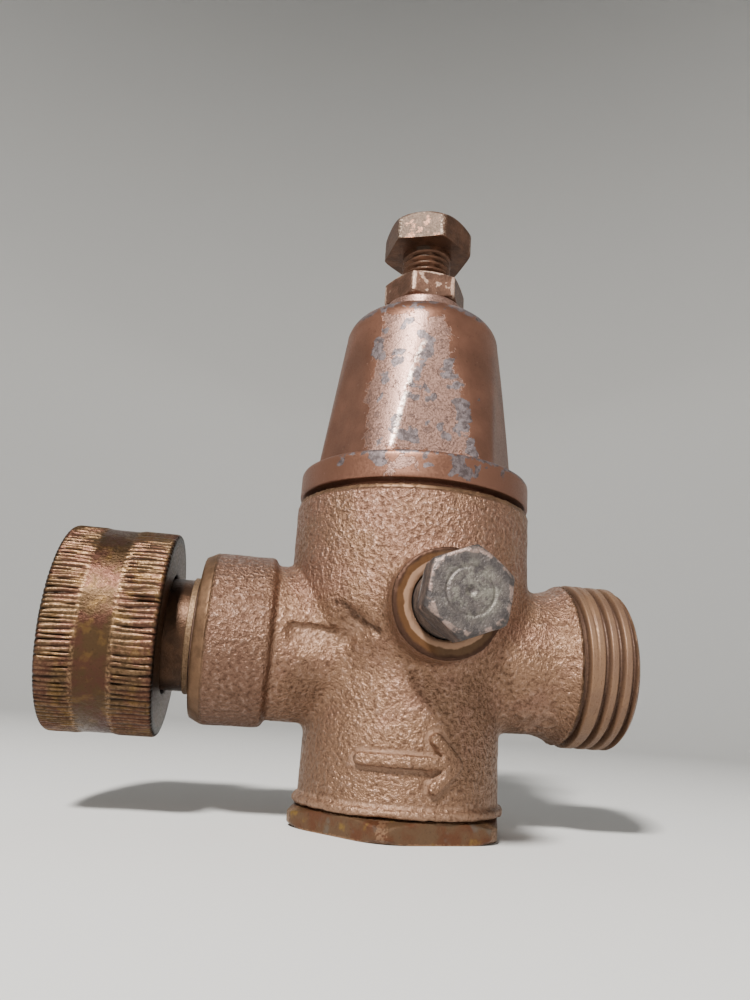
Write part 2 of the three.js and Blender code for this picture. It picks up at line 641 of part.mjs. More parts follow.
function hoseWasher() {
  const seat = SWIVEL_RIGHT_X - SWIVEL_WEB - TAIL_LIP_THICKNESS - 2 * SEAT_GAP;
  const low = seat - HOSE_WASHER_THICKNESS;
  return turnedAlongX(tube(HOSE_WASHER_INNER_R, HOSE_WASHER_OUTER_R, low, seat), SMALL_ROUND);
}

// ---- Assembly ------------------------------------------------------------------------

const valve = new THREE.Group();

function add(name, geometry, look) {
  const mesh = new THREE.Mesh(closed(geometry), new THREE.MeshStandardMaterial(look));
  mesh.name = name;
  valve.add(mesh);
}

add("body", body(), GUNMETAL);
add("bottom_cap", bottomCap(), GUNMETAL);
add("cap_gasket", capGasket(), FIBRE);
add("valve_seat", valveSeat(), BRASS);
add("seat_gasket", seatGasket(), FIBRE);
add("strainer", strainer(), STEEL);
add("valve_stem", valveStem(), BRASS);
add("disc_holder", discHolder(), BRASS);
add("seat_disc", seatDisc(), RUBBER);
add("disc_nut", discNut(), BRASS);
add("diaphragm_washer", diaphragmWasher(), BRASS);
add("diaphragm", diaphragm(), RUBBER);
add("pressure_plate", pressurePlate(), BRASS);
add("diaphragm_nut", diaphragmNut(), BRASS);
add("slip_ring", slipRing(), BRASS);
add("closing_spring", spring(
  CLOSING_COIL_R, CLOSING_WIRE, CLOSING_TURNS, CAP_FLOOR, HOLDER_BOTTOM, 5, 10,
), STEEL);
add("adjusting_spring", spring(
  MAIN_COIL_R, MAIN_WIRE, MAIN_TURNS, PLATE_TOP, BUTTON_BASE, 6, 12,
), STEEL);
add("spring_button", springButton(), BRASS);
add("bonnet", bonnet(), PLATED);
add("adjusting_screw", adjustingScrew(), GUNMETAL);
add("lock_nut", lockNut(), GUNMETAL);
add("gauge_plug", gaugePlug(), STEEL);
add("tailpiece", tailpiece(), BRASS);
add("tailpiece_washer", tailpieceWasher(), FIBRE);
add("swivel_nut", swivelNut(), BRASS);
add("hose_washer", hoseWasher(), RUBBER);

export default valve;
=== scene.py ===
"""The looks of a pressure reducing valve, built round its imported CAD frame.

Shapes are worked out in millimetres in the row frame and written to meshes in metres.
+Z runs up the spindle, +X along the flow, and the gauge port faces -Y.
"""

import functools
import math

import bpy
import numpy as np
from mathutils import Matrix, Vector


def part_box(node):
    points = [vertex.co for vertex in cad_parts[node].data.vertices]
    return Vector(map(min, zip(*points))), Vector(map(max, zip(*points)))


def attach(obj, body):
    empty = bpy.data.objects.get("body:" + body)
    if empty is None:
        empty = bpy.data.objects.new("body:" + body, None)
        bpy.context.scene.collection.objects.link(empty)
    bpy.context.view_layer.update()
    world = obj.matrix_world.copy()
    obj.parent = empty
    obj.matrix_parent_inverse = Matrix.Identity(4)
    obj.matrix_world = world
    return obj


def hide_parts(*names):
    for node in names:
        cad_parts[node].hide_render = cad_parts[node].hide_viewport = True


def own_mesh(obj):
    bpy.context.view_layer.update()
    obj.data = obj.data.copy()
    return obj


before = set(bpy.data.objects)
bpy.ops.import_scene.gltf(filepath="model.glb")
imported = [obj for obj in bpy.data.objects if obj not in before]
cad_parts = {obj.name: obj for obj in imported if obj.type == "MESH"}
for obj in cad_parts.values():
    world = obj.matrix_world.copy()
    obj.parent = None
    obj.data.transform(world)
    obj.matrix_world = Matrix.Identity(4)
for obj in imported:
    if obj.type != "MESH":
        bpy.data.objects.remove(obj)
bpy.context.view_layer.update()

MM = 0.001
ROOT = "valve_body"
TURN = 2 * math.pi
HALF_FLAT = TURN / 12


def cad_box(node):
    """Lowest and highest corners of a CAD node, in millimetres."""
    low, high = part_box(node)
    return np.array(low) / MM, np.array(high) / MM


def heights(node):
    """Lowest and highest Z of a CAD node, in millimetres."""
    low, high = cad_box(node)
    return low[2], high[2]


# ---- Places taken from the frame ----

BODY_LOW, BODY_HIGH = cad_box("body")
PLUG_LOW, PLUG_HIGH = cad_box("gauge_plug")
SWIVEL_LOW, SWIVEL_HIGH = cad_box("swivel_nut")

FLOW_Z = (SWIVEL_LOW[2] + SWIVEL_HIGH[2]) / 2
GAUGE_X = (PLUG_LOW[0] + PLUG_HIGH[0]) / 2
GAUGE_Z = (PLUG_LOW[2] + PLUG_HIGH[2]) / 2
CHAMBER_R = BODY_HIGH[1]
BODY_BASE = BODY_LOW[2]
BODY_TOP = BODY_HIGH[2]
INLET_X = BODY_LOW[0]
OUTLET_X = BODY_HIGH[0]
GAUGE_Y = BODY_LOW[1]
FLANGE_R = cad_box("bonnet")[1][1]
SWIVEL_R = (SWIVEL_HIGH[1] - SWIVEL_LOW[1]) / 2

# Proportions of the casting, in millimetres.
BARREL_R = 15.7
BARREL_TOP = 24
CHAMBER_BASE = 31.5
RIM_R = 16.45
RIM_TOP = BODY_BASE + 1.2
BOSS_R = 13.5
BOSS_BACK_X = INLET_X + 11.4
INLET_NECK_R = 12.3
OUTLET_NECK_R = 11.75
FLARE_X = 21.2
SHOULDER_X = OUTLET_X - 9.4
THREAD_X = OUTLET_X - 8.8
HOSE_CREST_R = 13.5
HOSE_PITCH = 2.209
GAUGE_BOSS_R = 7.95
OUTLET_BORE_R = 9
BONNET_BOSS_R = 7.25
SCREW_BORE_R = 4.75
BELL_ROOM_R = 12
BELL_OUTSIDE_R = 12.4
BELL_TOP_R = 13.9
BELL_FOOT_R = 17.15
BELL_FOOT_RISE = 1.2
BELL_FLAT = 15.8
BELL_TAPER = 0.0669
STEM_HOLE_R = 2.3
SCREW_PITCH = 1.27


# ---- Small numeric helpers ----


def most(*values):
    """The largest of several arrays, place by place."""
    return functools.reduce(np.maximum, values)


def least(*values):
    """The smallest of several arrays, place by place."""
    return functools.reduce(np.minimum, values)


def ramp(low, high, value):
    """A smooth step from 0 to 1."""
    t = np.clip((value - low) / (high - low), 0, 1)
    return t * t * (3 - 2 * t)


def soft_min(a, b, k):
    h = np.clip(0.5 + 0.5 * (b - a) / k, 0, 1)
    return b * (1 - h) + a * h - k * h * (1 - h)


def soft_max(a, b, k):
    return -soft_min(-a, -b, k)


def lattice(ix, iy, iz, seed):
    """A fixed random value from 0 to 1 for each whole-number point."""
    n = (ix * 374761393 + iy * 668265263 + iz * 2147483647 + seed * 144665) & 0xFFFFFFFF
    n = ((n ^ (n >> 13)) * 1274126177) & 0xFFFFFFFF
    n = ((n ^ (n >> 16)) * 2246822519) & 0xFFFFFFFF
    return (n ^ (n >> 15)) / 0xFFFFFFFF


def bumps(points, size, seed):
    """Smooth noise from -1 to 1 over points in millimetres, with features of the given size."""
    q = points / size
    cell = np.floor(q).astype(np.int64)
    f = q - cell
    f = f * f * (3 - 2 * f)
    total = 0
    for corner in np.ndindex(2, 2, 2):
        weight = np.where(corner, f, 1 - f).prod(-1)
        total = total + weight * lattice(*np.moveaxis(cell + corner, -1, 0), seed)
    return total * 2 - 1


# ---- Mesh helpers ----


def link(name, data):
    """A new object in the scene."""
    obj = bpy.data.objects.new(name, data)
    bpy.context.scene.collection.objects.link(obj)
    return obj


def new_object(name, points, faces, sharp_angle):
    """A smooth-shaded mesh object from points in millimetres."""
    mesh = bpy.data.meshes.new(name)
    mesh.from_pydata((np.asarray(points, float) * MM).tolist(), [], faces)
    mesh.validate()
    mesh.shade_smooth()
    mesh.set_sharp_from_angle(angle=math.radians(sharp_angle))
    return link(name, mesh)


def places(obj):
    """The object's vertices, in millimetres."""
    return np.array([v.co for v in obj.data.vertices]) / MM


def paint(obj, name, values):
    """A named number for each vertex, which the materials read."""
    attribute = obj.data.attributes.new(name, "FLOAT", "POINT")
    attribute.data.foreach_set("value", np.asarray(values, np.float32).ravel())


def finish_piece(obj, look, body, node):
    """Gives a piece the material of its look, which is a material and a slot, and its place in the frame.
    """
    material, slot = look
    obj.data.materials.append(material)
    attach(obj, body)
    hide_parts(node)
    return obj


def along_z(radius, height, theta):
    """theta runs from -Y towards +X."""
    return np.stack([radius * np.sin(theta), -radius * np.cos(theta), height], -1)


def along_x(radius, height, theta):
    """theta runs from -Y towards +Z, round the flow axis."""
    return np.stack([height, -radius * np.cos(theta), FLOW_Z + radius * np.sin(theta)], -1)


def along_gauge(radius, height, theta):
    """theta runs from +Z towards +X, round the gauge port; height is Y."""
    return np.stack([GAUGE_X + radius * np.sin(theta), height, GAUGE_Z + radius * np.cos(theta)], -1)


def rounded(profile, step):
    """Profile points (radius, height, fillet) as close samples with each corner rounded."""
    arc_steps = 4
    corners = [np.array(p[:2], float) for p in profile]
    fillets = [p[2] if len(p) > 2 else 0 for p in profile]
    samples = [corners[0]]
    for i in range(1, len(corners) - 1):
        here = corners[i]
        into = here - corners[i - 1]
        out = corners[i + 1] - here
        reach = min(fillets[i], 0.49 * np.linalg.norm(into), 0.49 * np.linalg.norm(out))
        start = here - into / np.linalg.norm(into) * reach
        end = here + out / np.linalg.norm(out) * reach
        if reach < 1e-6:
            samples.append(here)
            continue
        for k in range(arc_steps + 1):
            t = k / arc_steps
            samples.append((1 - t) ** 2 * start + 2 * t * (1 - t) * here + t * t * end)
    samples.append(corners[-1])
    fine = [samples[0]]
    for a, b in zip(samples, samples[1:]):
        count = max(1, math.ceil(np.linalg.norm(b - a) / step))
        fine.extend(a + (b - a) * (k + 1) / count for k in range(count))
    return np.array(fine)


def ring_faces(rows, columns, loop):
    """Quads between neighbouring rings of a turned mesh."""
    faces = []
    for i in range(rows if loop else rows - 1):
        a = i * columns
        b = ((i + 1) % rows) * columns
        faces.extend(
            (a + j, a + (j + 1) % columns, b + (j + 1) % columns, b + j) for j in range(columns)
        )
    return faces


def skin(name, rings, loop, sharp_angle):
    """A closed mesh through rings of points; without loop, the first and last rings are poles."""
    rows, columns = rings.shape[:2]
    if loop:
        points = rings.reshape(-1, 3)
        faces = ring_faces(rows, columns, True)
    else:
        middle = rings[1:-1]
        points = np.concatenate([middle.reshape(-1, 3), rings[0, :1], rings[-1, :1]])
        faces = ring_faces(rows - 2, columns, False)
        first, last = len(points) - 2, len(points) - 1
        top = (rows - 3) * columns
        faces += [(first, (j + 1) % columns, j) for j in range(columns)]
        faces += [(last, top + j, top + (j + 1) % columns) for j in range(columns)]
    obj = new_object(name, points, faces, sharp_angle)
    face_out(obj)
    return obj


def face_out(obj):
    """Turns the faces out if the closed mesh encloses a negative volume."""
    mesh = obj.data
    mesh.calc_loop_triangles()
    co = np.array([v.co for v in mesh.vertices])
    tri = np.array([t.vertices[:] for t in mesh.loop_triangles])
    a, b, c = co[tri[:, 0]], co[tri[:, 1]], co[tri[:, 2]]
    if np.einsum("ij,ij->i", a, np.cross(b, c)).sum() < 0:
        mesh.flip_normals()


def turned(name, profile, place, columns, shape, step, sharp_angle):
    """A turned piece; shape(radius, height, theta) may change the radius round the axis.

    A profile that starts off the axis is a ring, and its last point joins its first.
    """
    loop = profile[0][0] > 0
    samples = rounded(profile + profile[:1], step)[:-1] if loop else rounded(profile, step)
    radius = np.repeat(samples[:, :1], columns, 1)
    height = np.repeat(samples[:, 1:], columns, 1)
    theta = np.repeat([np.arange(columns) * TURN / columns], len(samples), 0)
    if shape is not None:
        radius = shape(radius, height, theta)
    return skin(name, place(radius, height, theta), loop, sharp_angle)


def ring_profile(inner, outer, low, high, fillet=0.15):
    """A square ring with softened corners."""
    middle = (inner + outer) / 2
    return [
        (middle, low), (outer, low, fillet), (outer, high, fillet),
        (inner, high, fillet), (inner, low, fillet),
    ]


def off_flat(theta, facing):
    """Angle from the middle of a hexagon's nearest flat; facing is a flat's normal in degrees."""
    return (theta - math.radians(facing) + HALF_FLAT) % (2 * HALF_FLAT) - HALF_FLAT


def hexagon_cut(radius, theta, apothem, facing, blend):
    """The radius, cut back to a hexagon's flats."""
    return soft_min(radius, apothem / np.cos(off_flat(theta, facing)), blend)


def hexagonal(apothem, facing, blend, inner, low=-np.inf, high=np.inf):
    """A shape for turned: flats outside the inner radius and between two heights."""

    def shape(radius, height, theta):
        cut = hexagon_cut(radius, theta, apothem, facing, blend)
        return np.where((height > low) & (height < high) & (radius > inner), cut, radius)

    return shape


def helix_phase(height, theta, pitch):
    """Place across a right-hand thread, from 0 to 1."""
    return (height / pitch - theta / TURN) % 1


# ---- Materials ----


class Field:
    """A node's output, on which sums and products make new nodes."""

    def __init__(self, shader, socket):
        self.shader = shader
        self.socket = socket

    def __add__(self, other):
        return self.shader.math("ADD", self, other)

    def __sub__(self, other):
        return self.shader.math("SUBTRACT", self, other)

    def __rsub__(self, other):
        return self.shader.math("SUBTRACT", other, self)

    def __mul__(self, other):
        return self.shader.math("MULTIPLY", self, other)

    def band(self, low, high, to_low=0, to_high=1):
        """A smooth step from to_low at low to to_high at high."""
        inputs = {
            "Value": self, "From Min": low, "From Max": high, "To Min": to_low, "To Max": to_high,
        }
        node = self.shader.node("MapRange", inputs, interpolation_type="SMOOTHSTEP")
        return self.shader.field(node)


class Shader:
    """A procedural material; noise sizes are in millimetres."""

    def __init__(self, name, slot=None):
        self.slot = slot or name
        self.material = bpy.data.materials.new(name)
        self.material.use_nodes = True
        self.tree = self.material.node_tree
        self.tree.nodes.clear()
        self.bsdf = self.node("BsdfPrincipled", {})
        self.node("OutputMaterial", {"Surface": self.field(self.bsdf, 0)})
        self.coordinates = self.node("TexCoord", {})
        self.place = self.stretched(self.field(self.coordinates, "Object"), (1 / MM,) * 3)

    def field(self, node, output=0):
        return Field(self, node.outputs[output])

    def node(self, kind, inputs, **settings):
        """A new node with its settings made and its inputs linked or set."""
        node = self.tree.nodes.new("ShaderNode" + kind)
        for name, value in settings.items():
            setattr(node, name, value)
        for name, value in inputs.items():
            self.put(value, node.inputs[name])
        return node

    def put(self, value, socket):
        """Links a field, or sets a number, colour or vector."""
        if isinstance(value, Field):
            self.tree.links.new(value.socket, socket)
        elif socket.type == "RGBA":
            socket.default_value = (*value, 1)
        else:
            socket.default_value = value

    def stretched(self, place, scale):
        """Coordinates multiplied along each axis."""
        return self.field(self.node("Mapping", {"Vector": place, "Scale": scale}))

    def noise(self, size, detail=3, roughness=0.55, place=None, distortion=0):
        inputs = {
            "Vector": place or self.place, "Scale": 1 / size, "Detail": detail,
            "Roughness": roughness, "Distortion": distortion,
        }
        return self.field(self.node("TexNoise", inputs))

    def cells(self, size):
        """Distance from the middle of the nearest cell."""
        return self.field(self.node("TexVoronoi", {"Vector": self.place, "Scale": 1 / size}), "Distance")

    def painted(self, name):
        return self.field(self.node("Attribute", {}, attribute_name=name), "Fac")

    def split(self, vector):
        """A vector's X, Y and Z."""
        node = self.node("SeparateXYZ", {0: vector})
        return [self.field(node, axis) for axis in range(3)]

    def math(self, operation, a, b=0):
        return self.field(self.node("Math", {0: a, 1: b}, operation=operation))

    def larger(self, a, b):
        return self.math("MAXIMUM", a, b)

    def blend(self, factor, a, b):
        return self.field(self.node("Mix", {0: factor, 6: a, 7: b}, data_type="RGBA"), 2)

    def coat(self, color, tint, field, low, high, to_low=0, to_high=1):
        """The colour with a tint over it where the field says so."""
        return self.blend(field.band(low, high, to_low, to_high), color, tint)

    def finish(self, color, roughness, metallic, relief, depth):
        """The material and its slot; the relief's depth is in millimetres."""
        bump = self.node("Bump", {"Strength": 1, "Distance": depth * MM, "Height": relief})
        surface = {
            "Base Color": color, "Roughness": roughness, "Metallic": metallic,
            "Normal": self.field(bump),
        }
        for name, value in surface.items():
            self.put(value, self.bsdf.inputs[name])
        return self.material, self.slot


# Colours, as linear light.
ROSE_BROWN = (0.3, 0.163, 0.11)
DEEP_BROWN = (0.07, 0.034, 0.021)
GLINT = (0.52, 0.345, 0.27)
SAND = (0.235, 0.135, 0.083)
PALE_SAND = (0.2, 0.114, 0.064)
CREAM = (0.33, 0.2, 0.128)
ORANGE_BROWN = (0.115, 0.054, 0.023)
COPPER_BROWN = (0.132, 0.062, 0.04)
WORN_PINK = (0.275, 0.161, 0.126)
BLUE_GREY = (0.118, 0.1, 0.105)
OLIVE_BRASS = (0.066, 0.037, 0.017)
RED_BRASS = (0.074, 0.031, 0.019)
GOLD_BRASS = (0.125, 0.069, 0.023)
BRIGHT_BRASS = (0.29, 0.178, 0.094)
DARK_OLIVE = (0.012, 0.007, 0.004)
RUST_BROWN = (0.092, 0.035, 0.015)
ZINC = (0.098, 0.083, 0.076)
DARK_ZINC = (0.047, 0.04, 0.039)
CLEAN_BRASS = (0.6, 0.42, 0.19)


def dimmed(color, share):
    return tuple(c * share for c in color)


def cast_material():
    """Sand-cast gunmetal: a grainy skin, tan dust in the hollows and turned faces, with painted glints
    and painted shade.
    """
    s = Shader("cast_gunmetal")
    machined = s.painted("machined")
    x, y, z = s.split(s.place)
    grain = s.noise(0.64, 3, 0.6)
    coarse = s.noise(1.7, 3, 0.6)
    patches = s.noise(8, 3, 0.6)
    sandy = (patches - z * 0.006).band(0.1, 0.42)
    skin_color = s.blend(sandy, dimmed(ROSE_BROWN, 0.78), dimmed(SAND, 0.96))
    # Painted shade: the skin is darker towards the inlet end.
    inlet_shade = x.band(INLET_X + 9, INLET_X + 14, 0.75, 0)
    skin_color = s.blend(inlet_shade, skin_color, dimmed(ROSE_BROWN, 0.42))
    skin_color = s.coat(skin_color, DEEP_BROWN, grain, 0.33, 0.48, 0.62, 0)
    # Painted highlight: glints on the grain's crests, stronger higher up the chamber.
    crest = grain.band(0.53, 0.68) * z.band(34, 46, 0.26, 0.46)
    skin_color = s.blend(crest, skin_color, GLINT)
    skin_color = s.coat(skin_color, DEEP_BROWN, coarse, 0.27, 0.35, 0.4, 0)
    hollow = s.larger(s.painted("cavity").band(0.22, 0.62), s.painted("dusty"))
    dust = hollow * coarse.band(0.28, 0.52, 0.62, 1) * grain.band(0.36, 0.5, 0.3, 0.85)
    skin_color = s.blend(dust, skin_color, dimmed(SAND, 0.95))
    # Painted shade: dark along the hollow's crease and in a patch under the inlet neck.
    skin_color = s.blend(s.painted("painted_shade"), skin_color, dimmed(DEEP_BROWN, 0.6))
    turned_color = s.coat(dimmed(PALE_SAND, 0.58), dimmed(PALE_SAND, 0.85), coarse, 0.35, 0.65)
    color = s.blend(machined, skin_color, turned_color)

    off_x = x - GAUGE_X
    off_z = z - GAUGE_Z
    ring = s.math("SQRT", off_x * off_x + off_z * off_z) + coarse * 0.9
    on_face = y.band(GAUGE_Y + 0.8, GAUGE_Y + 0.4) * ring.band(9, 8.8)
    leftward = off_x + patches * 3
    # The lip is orange-brown on the left and pale sand on the right, the pale sand dimmed as painted
    # shade.
    lip_color = s.coat(ORANGE_BROWN, dimmed(PALE_SAND, 0.55), leftward, -1.5, 1)
    face_color = s.coat(CREAM, lip_color, ring, 6.75, 6.95)
    face_color = s.coat(face_color, ORANGE_BROWN, ring, 5.75, 5.6)
    face_color = s.coat(face_color, dimmed(DEEP_BROWN, 0.7), ring, 7.5, 8)
    color = s.blend(on_face, color, face_color)

    roughness = s.larger(grain.band(0.38, 0.6, 0.6, 0.34), dust * 0.9)
    roughness = s.larger(roughness, machined * 0.5)
    relief = grain + s.noise(0.4, 2, 0.6) * 0.16
    calm = (1 - machined * 0.95) * (1 - dust * 0.35) * z.band(24, 34, 0.8, 1)
    return s.finish(color, roughness, dust.band(0, 1, 0.85, 0.2), relief * calm, 0.52)


def thread_material():
    """Turned hose thread: smooth tan crests, with painted shade darkening the grooves."""
    s = Shader("turned_thread", "cast_gunmetal")
    fine = s.noise(0.4, 3, 0.6, s.stretched(s.place, (2, 1, 1)))
    color = s.coat(dimmed(SAND, 0.66), dimmed(PALE_SAND, 0.92), s.noise(4, 3), 0.35, 0.65)
    color = s.coat(color, RUST_BROWN, fine, 0.32, 0.44, 0.6, 0)
    # Painted shade in the grooves.
    dark = s.painted("groove") * fine.band(0.35, 0.62, 1, 0.72)
    color = s.blend(dark, color, dimmed(DEEP_BROWN, 0.8))
    return s.finish(color, fine.band(0.3, 0.7, 0.62, 0.4), 0.5, fine, 0.06)


def bonnet_material():
    """Copper-brown plating, worn to pale metal on the front, with blue-grey remains and a painted
    highlight on one ridge.
    """
    s = Shader("plated_bronze")
    flake = s.noise(2.6, 5, 0.66, distortion=0.4)
    small = s.noise(0.9, 4, 0.65)
    grain = s.noise(0.3, 2, 0.6)
    plate = s.coat(COPPER_BROWN, dimmed(COPPER_BROWN, 1.5), s.noise(7, 3), 0.35, 0.7)
    plate = s.coat(plate, dimmed(COPPER_BROWN, 0.5), small, 0.3, 0.4, 0.35, 0)
    z = s.split(s.place)[2]
    flange = z.band(BODY_TOP + 5.2, BODY_TOP + 5.8, 1, 0)
    plate = s.blend(flange * 0.5, plate, dimmed(COPPER_BROWN, 1.55))
    worn = (s.painted("worn") + flake * 1.3).band(1.14, 1.17)
    worn_color = s.coat(dimmed(WORN_PINK, 0.66), WORN_PINK, grain, 0.36, 0.6)
    worn_color = s.coat(worn_color, dimmed(COPPER_BROWN, 0.8), small, 0.31, 0.36, 0.7, 0)
    color = s.blend(worn, plate, worn_color)
    left_over = s.noise(1.7, 5, 0.68, distortion=1.2)
    stain = left_over.band(0.585, 0.6) * left_over.band(0.66, 0.64)
    stain = s.larger(stain, left_over.band(0.64, 0.66)) * worn
    color = s.blend(stain * 0.75, color, (0.15, 0.092, 0.078))
    grey = (s.painted("grey") + flake * 1.7).band(1.36, 1.4)
    grey_color = s.coat(dimmed(BLUE_GREY, 0.55), dimmed(BLUE_GREY, 1.35), small, 0.38, 0.62)
    color = s.blend(grey * 0.9, color, grey_color)
    dots = s.cells(2.2).band(0.02, 0.09, 1, 0)
    color = s.blend(dots * 0.7, color, dimmed(WORN_PINK, 0.9))
    # Painted highlight: a bright streak along the ridge left of the front flat.
    bright = s.painted("edge") * small.band(0.4, 0.58)
    color = s.blend(bright, color, (0.78, 0.64, 0.56))
    rough = grain.band(0.35, 0.7, 0.36, 0.5) + grey * 0.1
    height = grain * worn.band(0, 1, 0.15, 0.5) - worn * 0.8 + stain * 0.8
    return s.finish(color, rough, 0.75, height, 0.07)


def worn_bronze(name, base, bright, spot, facing=None, glint=(0.55, 0.42, 0.33)):
    """Handled bronze: brown with pale wear on edges, in spots and on one face."""
    s = Shader(name)
    edge = s.painted("edge")
    fine = s.noise(0.35, 3, 0.6)
    field = edge * 0.3 + s.noise(2.4, 4, 0.65)
    if facing is not None:
        x, y, _ = s.split(s.field(s.coordinates, "Normal"))
        toward = x * facing[0] + y * facing[1]
        field = field + toward.band(0.93, 0.97, 0, facing[2])
    color = s.coat(base, dimmed(base, 0.6), s.noise(2, 3), 0.35, 0.65)
    worn = field.band(spot, spot + 0.06)
    worn_color = s.coat(dimmed(bright, 0.78), bright, s.noise(0.9, 4, 0.6), 0.4, 0.6)
    color = s.blend(worn, color, worn_color)
    color = s.coat(color, dimmed(base, 0.5), fine, 0.28, 0.4, 0.35, 0)
    color = s.blend(edge * fine.band(0.46, 0.62, 0, 0.7), color, glint)
    rough = fine.band(0.3, 0.7, 0.46, 0.36) + worn * 0.16
    return s.finish(color, rough, 0.75, fine, 0.06)


def knurl_material():
    """Tarnished brass: dark between the ridges and bright on them."""
    s = Shader("knurled_brass")
    crest = s.painted("crest")
    fine = s.noise(0.45, 4, 0.65)
    color = s.coat(OLIVE_BRASS, RED_BRASS, s.noise(3.6, 4, 0.6), 0.42, 0.58)
    color = s.coat(color, GOLD_BRASS, s.noise(2.2, 4, 0.6), 0.52, 0.66, 0, 0.7)
    color = s.coat(color, DARK_OLIVE, crest, 0.15, 0.88, 0.94, 0)
    shine = crest.band(0.8, 0.98) * fine.band(0.4, 0.6)
    burr = s.painted("burr") * fine.band(0.42, 0.6, 0, 0.75)
    color = s.blend(s.larger(shine * 0.3, burr), color, BRIGHT_BRASS)
    color = s.coat(color, DARK_OLIVE, fine, 0.28, 0.38, 0.6, 0)
    return s.finish(color, fine.band(0.3, 0.7, 0.5, 0.27), 0.85, fine, 0.1)


def zinc_material():
    """Dull zinc-plated steel, mottled, with rubbed edges."""
    s = Shader("plug_steel")
    mottle = s.noise(1.6, 4, 0.66)
    fine = s.noise(0.3, 3, 0.6)
    color = s.coat(DARK_ZINC, ZINC, mottle, 0.38, 0.62)
    pale = s.painted("centre") * s.noise(1.8, 4, 0.7).band(0.44, 0.6)
    color = s.blend(pale * 0.6, color, (0.19, 0.178, 0.145))
    rubbed = (s.painted("edge") * 0.36 + mottle).band(0.8, 0.92)
    color = s.blend(rubbed * 0.7, color, (0.27, 0.185, 0.155))
    color = s.coat(color, (0.05, 0.03, 0.025), fine, 0.27, 0.38, 0.5, 0)
    rough = mottle.band(0.3, 0.7, 0.58, 0.38)
    return s.finish(color, rough, 0.55, fine + mottle * 1.5, 0.1)


def cap_material():
    """Machined bronze cap: red-brown with olive and yellow stains."""
    s = Shader("cap_bronze")
    stain = s.noise(3.6, 3, 0.55)
    fine = s.noise(0.4, 3, 0.65)
    color = s.coat(RUST_BROWN, (0.098, 0.055, 0.028), s.noise(4, 4, 0.6), 0.4, 0.6)
    color = s.coat(color, (0.2, 0.118, 0.024), stain, 0.58, 0.68, 0, 0.75)
    color = s.coat(color, (0.105, 0.095, 0.078), stain, 0.33, 0.44, 0.6, 0)
    rubbed = (s.painted("edge") * 0.42 + fine).band(0.8, 0.92)
    color = s.blend(rubbed * 0.8, color, PALE_SAND)
    color = s.coat(color, (0.04, 0.02, 0.012), fine, 0.28, 0.4, 0.6, 0)
    return s.finish(color, fine.band(0.3, 0.7, 0.6, 0.38), 0.6, fine, 0.08)


def simple_metal(name, color, dark, roughness):
    """A turned or drawn inner part with light variation."""
    s = Shader(name)
    fine = s.noise(0.5, 3)
    mixed = s.coat(color, dark, s.noise(3, 3), 0.3, 0.7)
    rough = fine.band(0.3, 0.7, roughness + 0.1, roughness - 0.08)
    return s.finish(mixed, rough, 0.9, fine, 0.02)


def soft_material(name, color, roughness, grain):
    """Rubber or fibre with a matt, grainy face."""
    s = Shader(name)
    fine = s.noise(grain, 3, 0.65)
    mixed = s.coat(color, dimmed(color, 1.7), fine, 0.3, 0.7)
    rough = fine.band(0.3, 0.7, roughness, roughness - 0.12)
    return s.finish(mixed, rough, 0, fine, 0.03)


SCREW_FACING = -21
NUT_FACING = 2.7
CAP_FACING = 14
HEAD_FRONT = (math.sin(math.radians(SCREW_FACING)), -math.cos(math.radians(SCREW_FACING)), 0.34)
NUT_FRONT = (math.sin(math.radians(NUT_FACING)), -math.cos(math.radians(NUT_FACING)), 0.155)

CAST = cast_material()
THREAD = thread_material()
PLATED = bonnet_material()
SCREW_BRONZE = worn_bronze("screw_bronze", (0.12, 0.058, 0.034), (0.086, 0.058, 0.042), 0.76, HEAD_FRONT)
NUT_BRONZE = worn_bronze("nut_bronze", (0.15, 0.078, 0.052), (0.4, 0.27, 0.205), 0.69, NUT_FRONT)
TAIL_BRASS = worn_bronze(
    "tail_brass", (0.07, 0.034, 0.017), (0.15, 0.092, 0.05), 0.72, None, (0.19, 0.12, 0.068)
)
KNURLED = knurl_material()
PLUG_STEEL = zinc_material()
CAP_BRONZE = cap_material()
INNER_BRASS = simple_metal("inner_brass", CLEAN_BRASS, (0.42, 0.27, 0.11), 0.32)
SPRING_STEEL = simple_metal("spring_steel", (0.36, 0.36, 0.37), (0.2, 0.19, 0.19), 0.35)
SCREEN_STEEL = simple_metal("screen_steel", (0.52, 0.52, 0.5), (0.36, 0.35, 0.33), 0.4)
RUBBER = soft_material("rubber", (0.012, 0.012, 0.013), 0.75, 0.4)
FIBRE = soft_material("fibre", (0.055, 0.026, 0.016), 0.8, 0.5)


# ---- The cast body ----


def spindle_radius(p):
    return np.hypot(p[..., 0], p[..., 1])


def flow_radius(p):
    return np.hypot(p[..., 1], p[..., 2] - FLOW_Z)


def gauge_radius(p):
    return np.hypot(p[..., 0] - GAUGE_X, p[..., 2] - GAUGE_Z)


def cylinder(p, axis, radius, low, high):
    """Distance to a cylinder round the flow (axis 0), the gauge port (1) or the spindle (2)."""
    along = p[..., axis]
    out = (flow_radius, gauge_radius, spindle_radius)[axis](p) - radius
    return most(out, low - along, along - high)


def capsule(p, radius, start, end):
    """A round-ended bar between two points of the XZ plane."""
    a = np.array([start[0], 0, start[1]])
    d = np.array([end[0] - start[0], 0, end[1] - start[1]])
    t = np.clip(((p - a) @ d) / (d @ d), 0, 1)
    return np.linalg.norm(p - a - t[..., None] * d, axis=-1) - radius


def segment(u, v, start, end):
    """Distance from flat points to a line between two flat points."""
    du, dv = end[0] - start[0], end[1] - start[1]
    t = np.clip(((u - start[0]) * du + (v - start[1]) * dv) / (du * du + dv * dv), 0, 1)
    return np.hypot(u - start[0] - t * du, v - start[1] - t * dv)


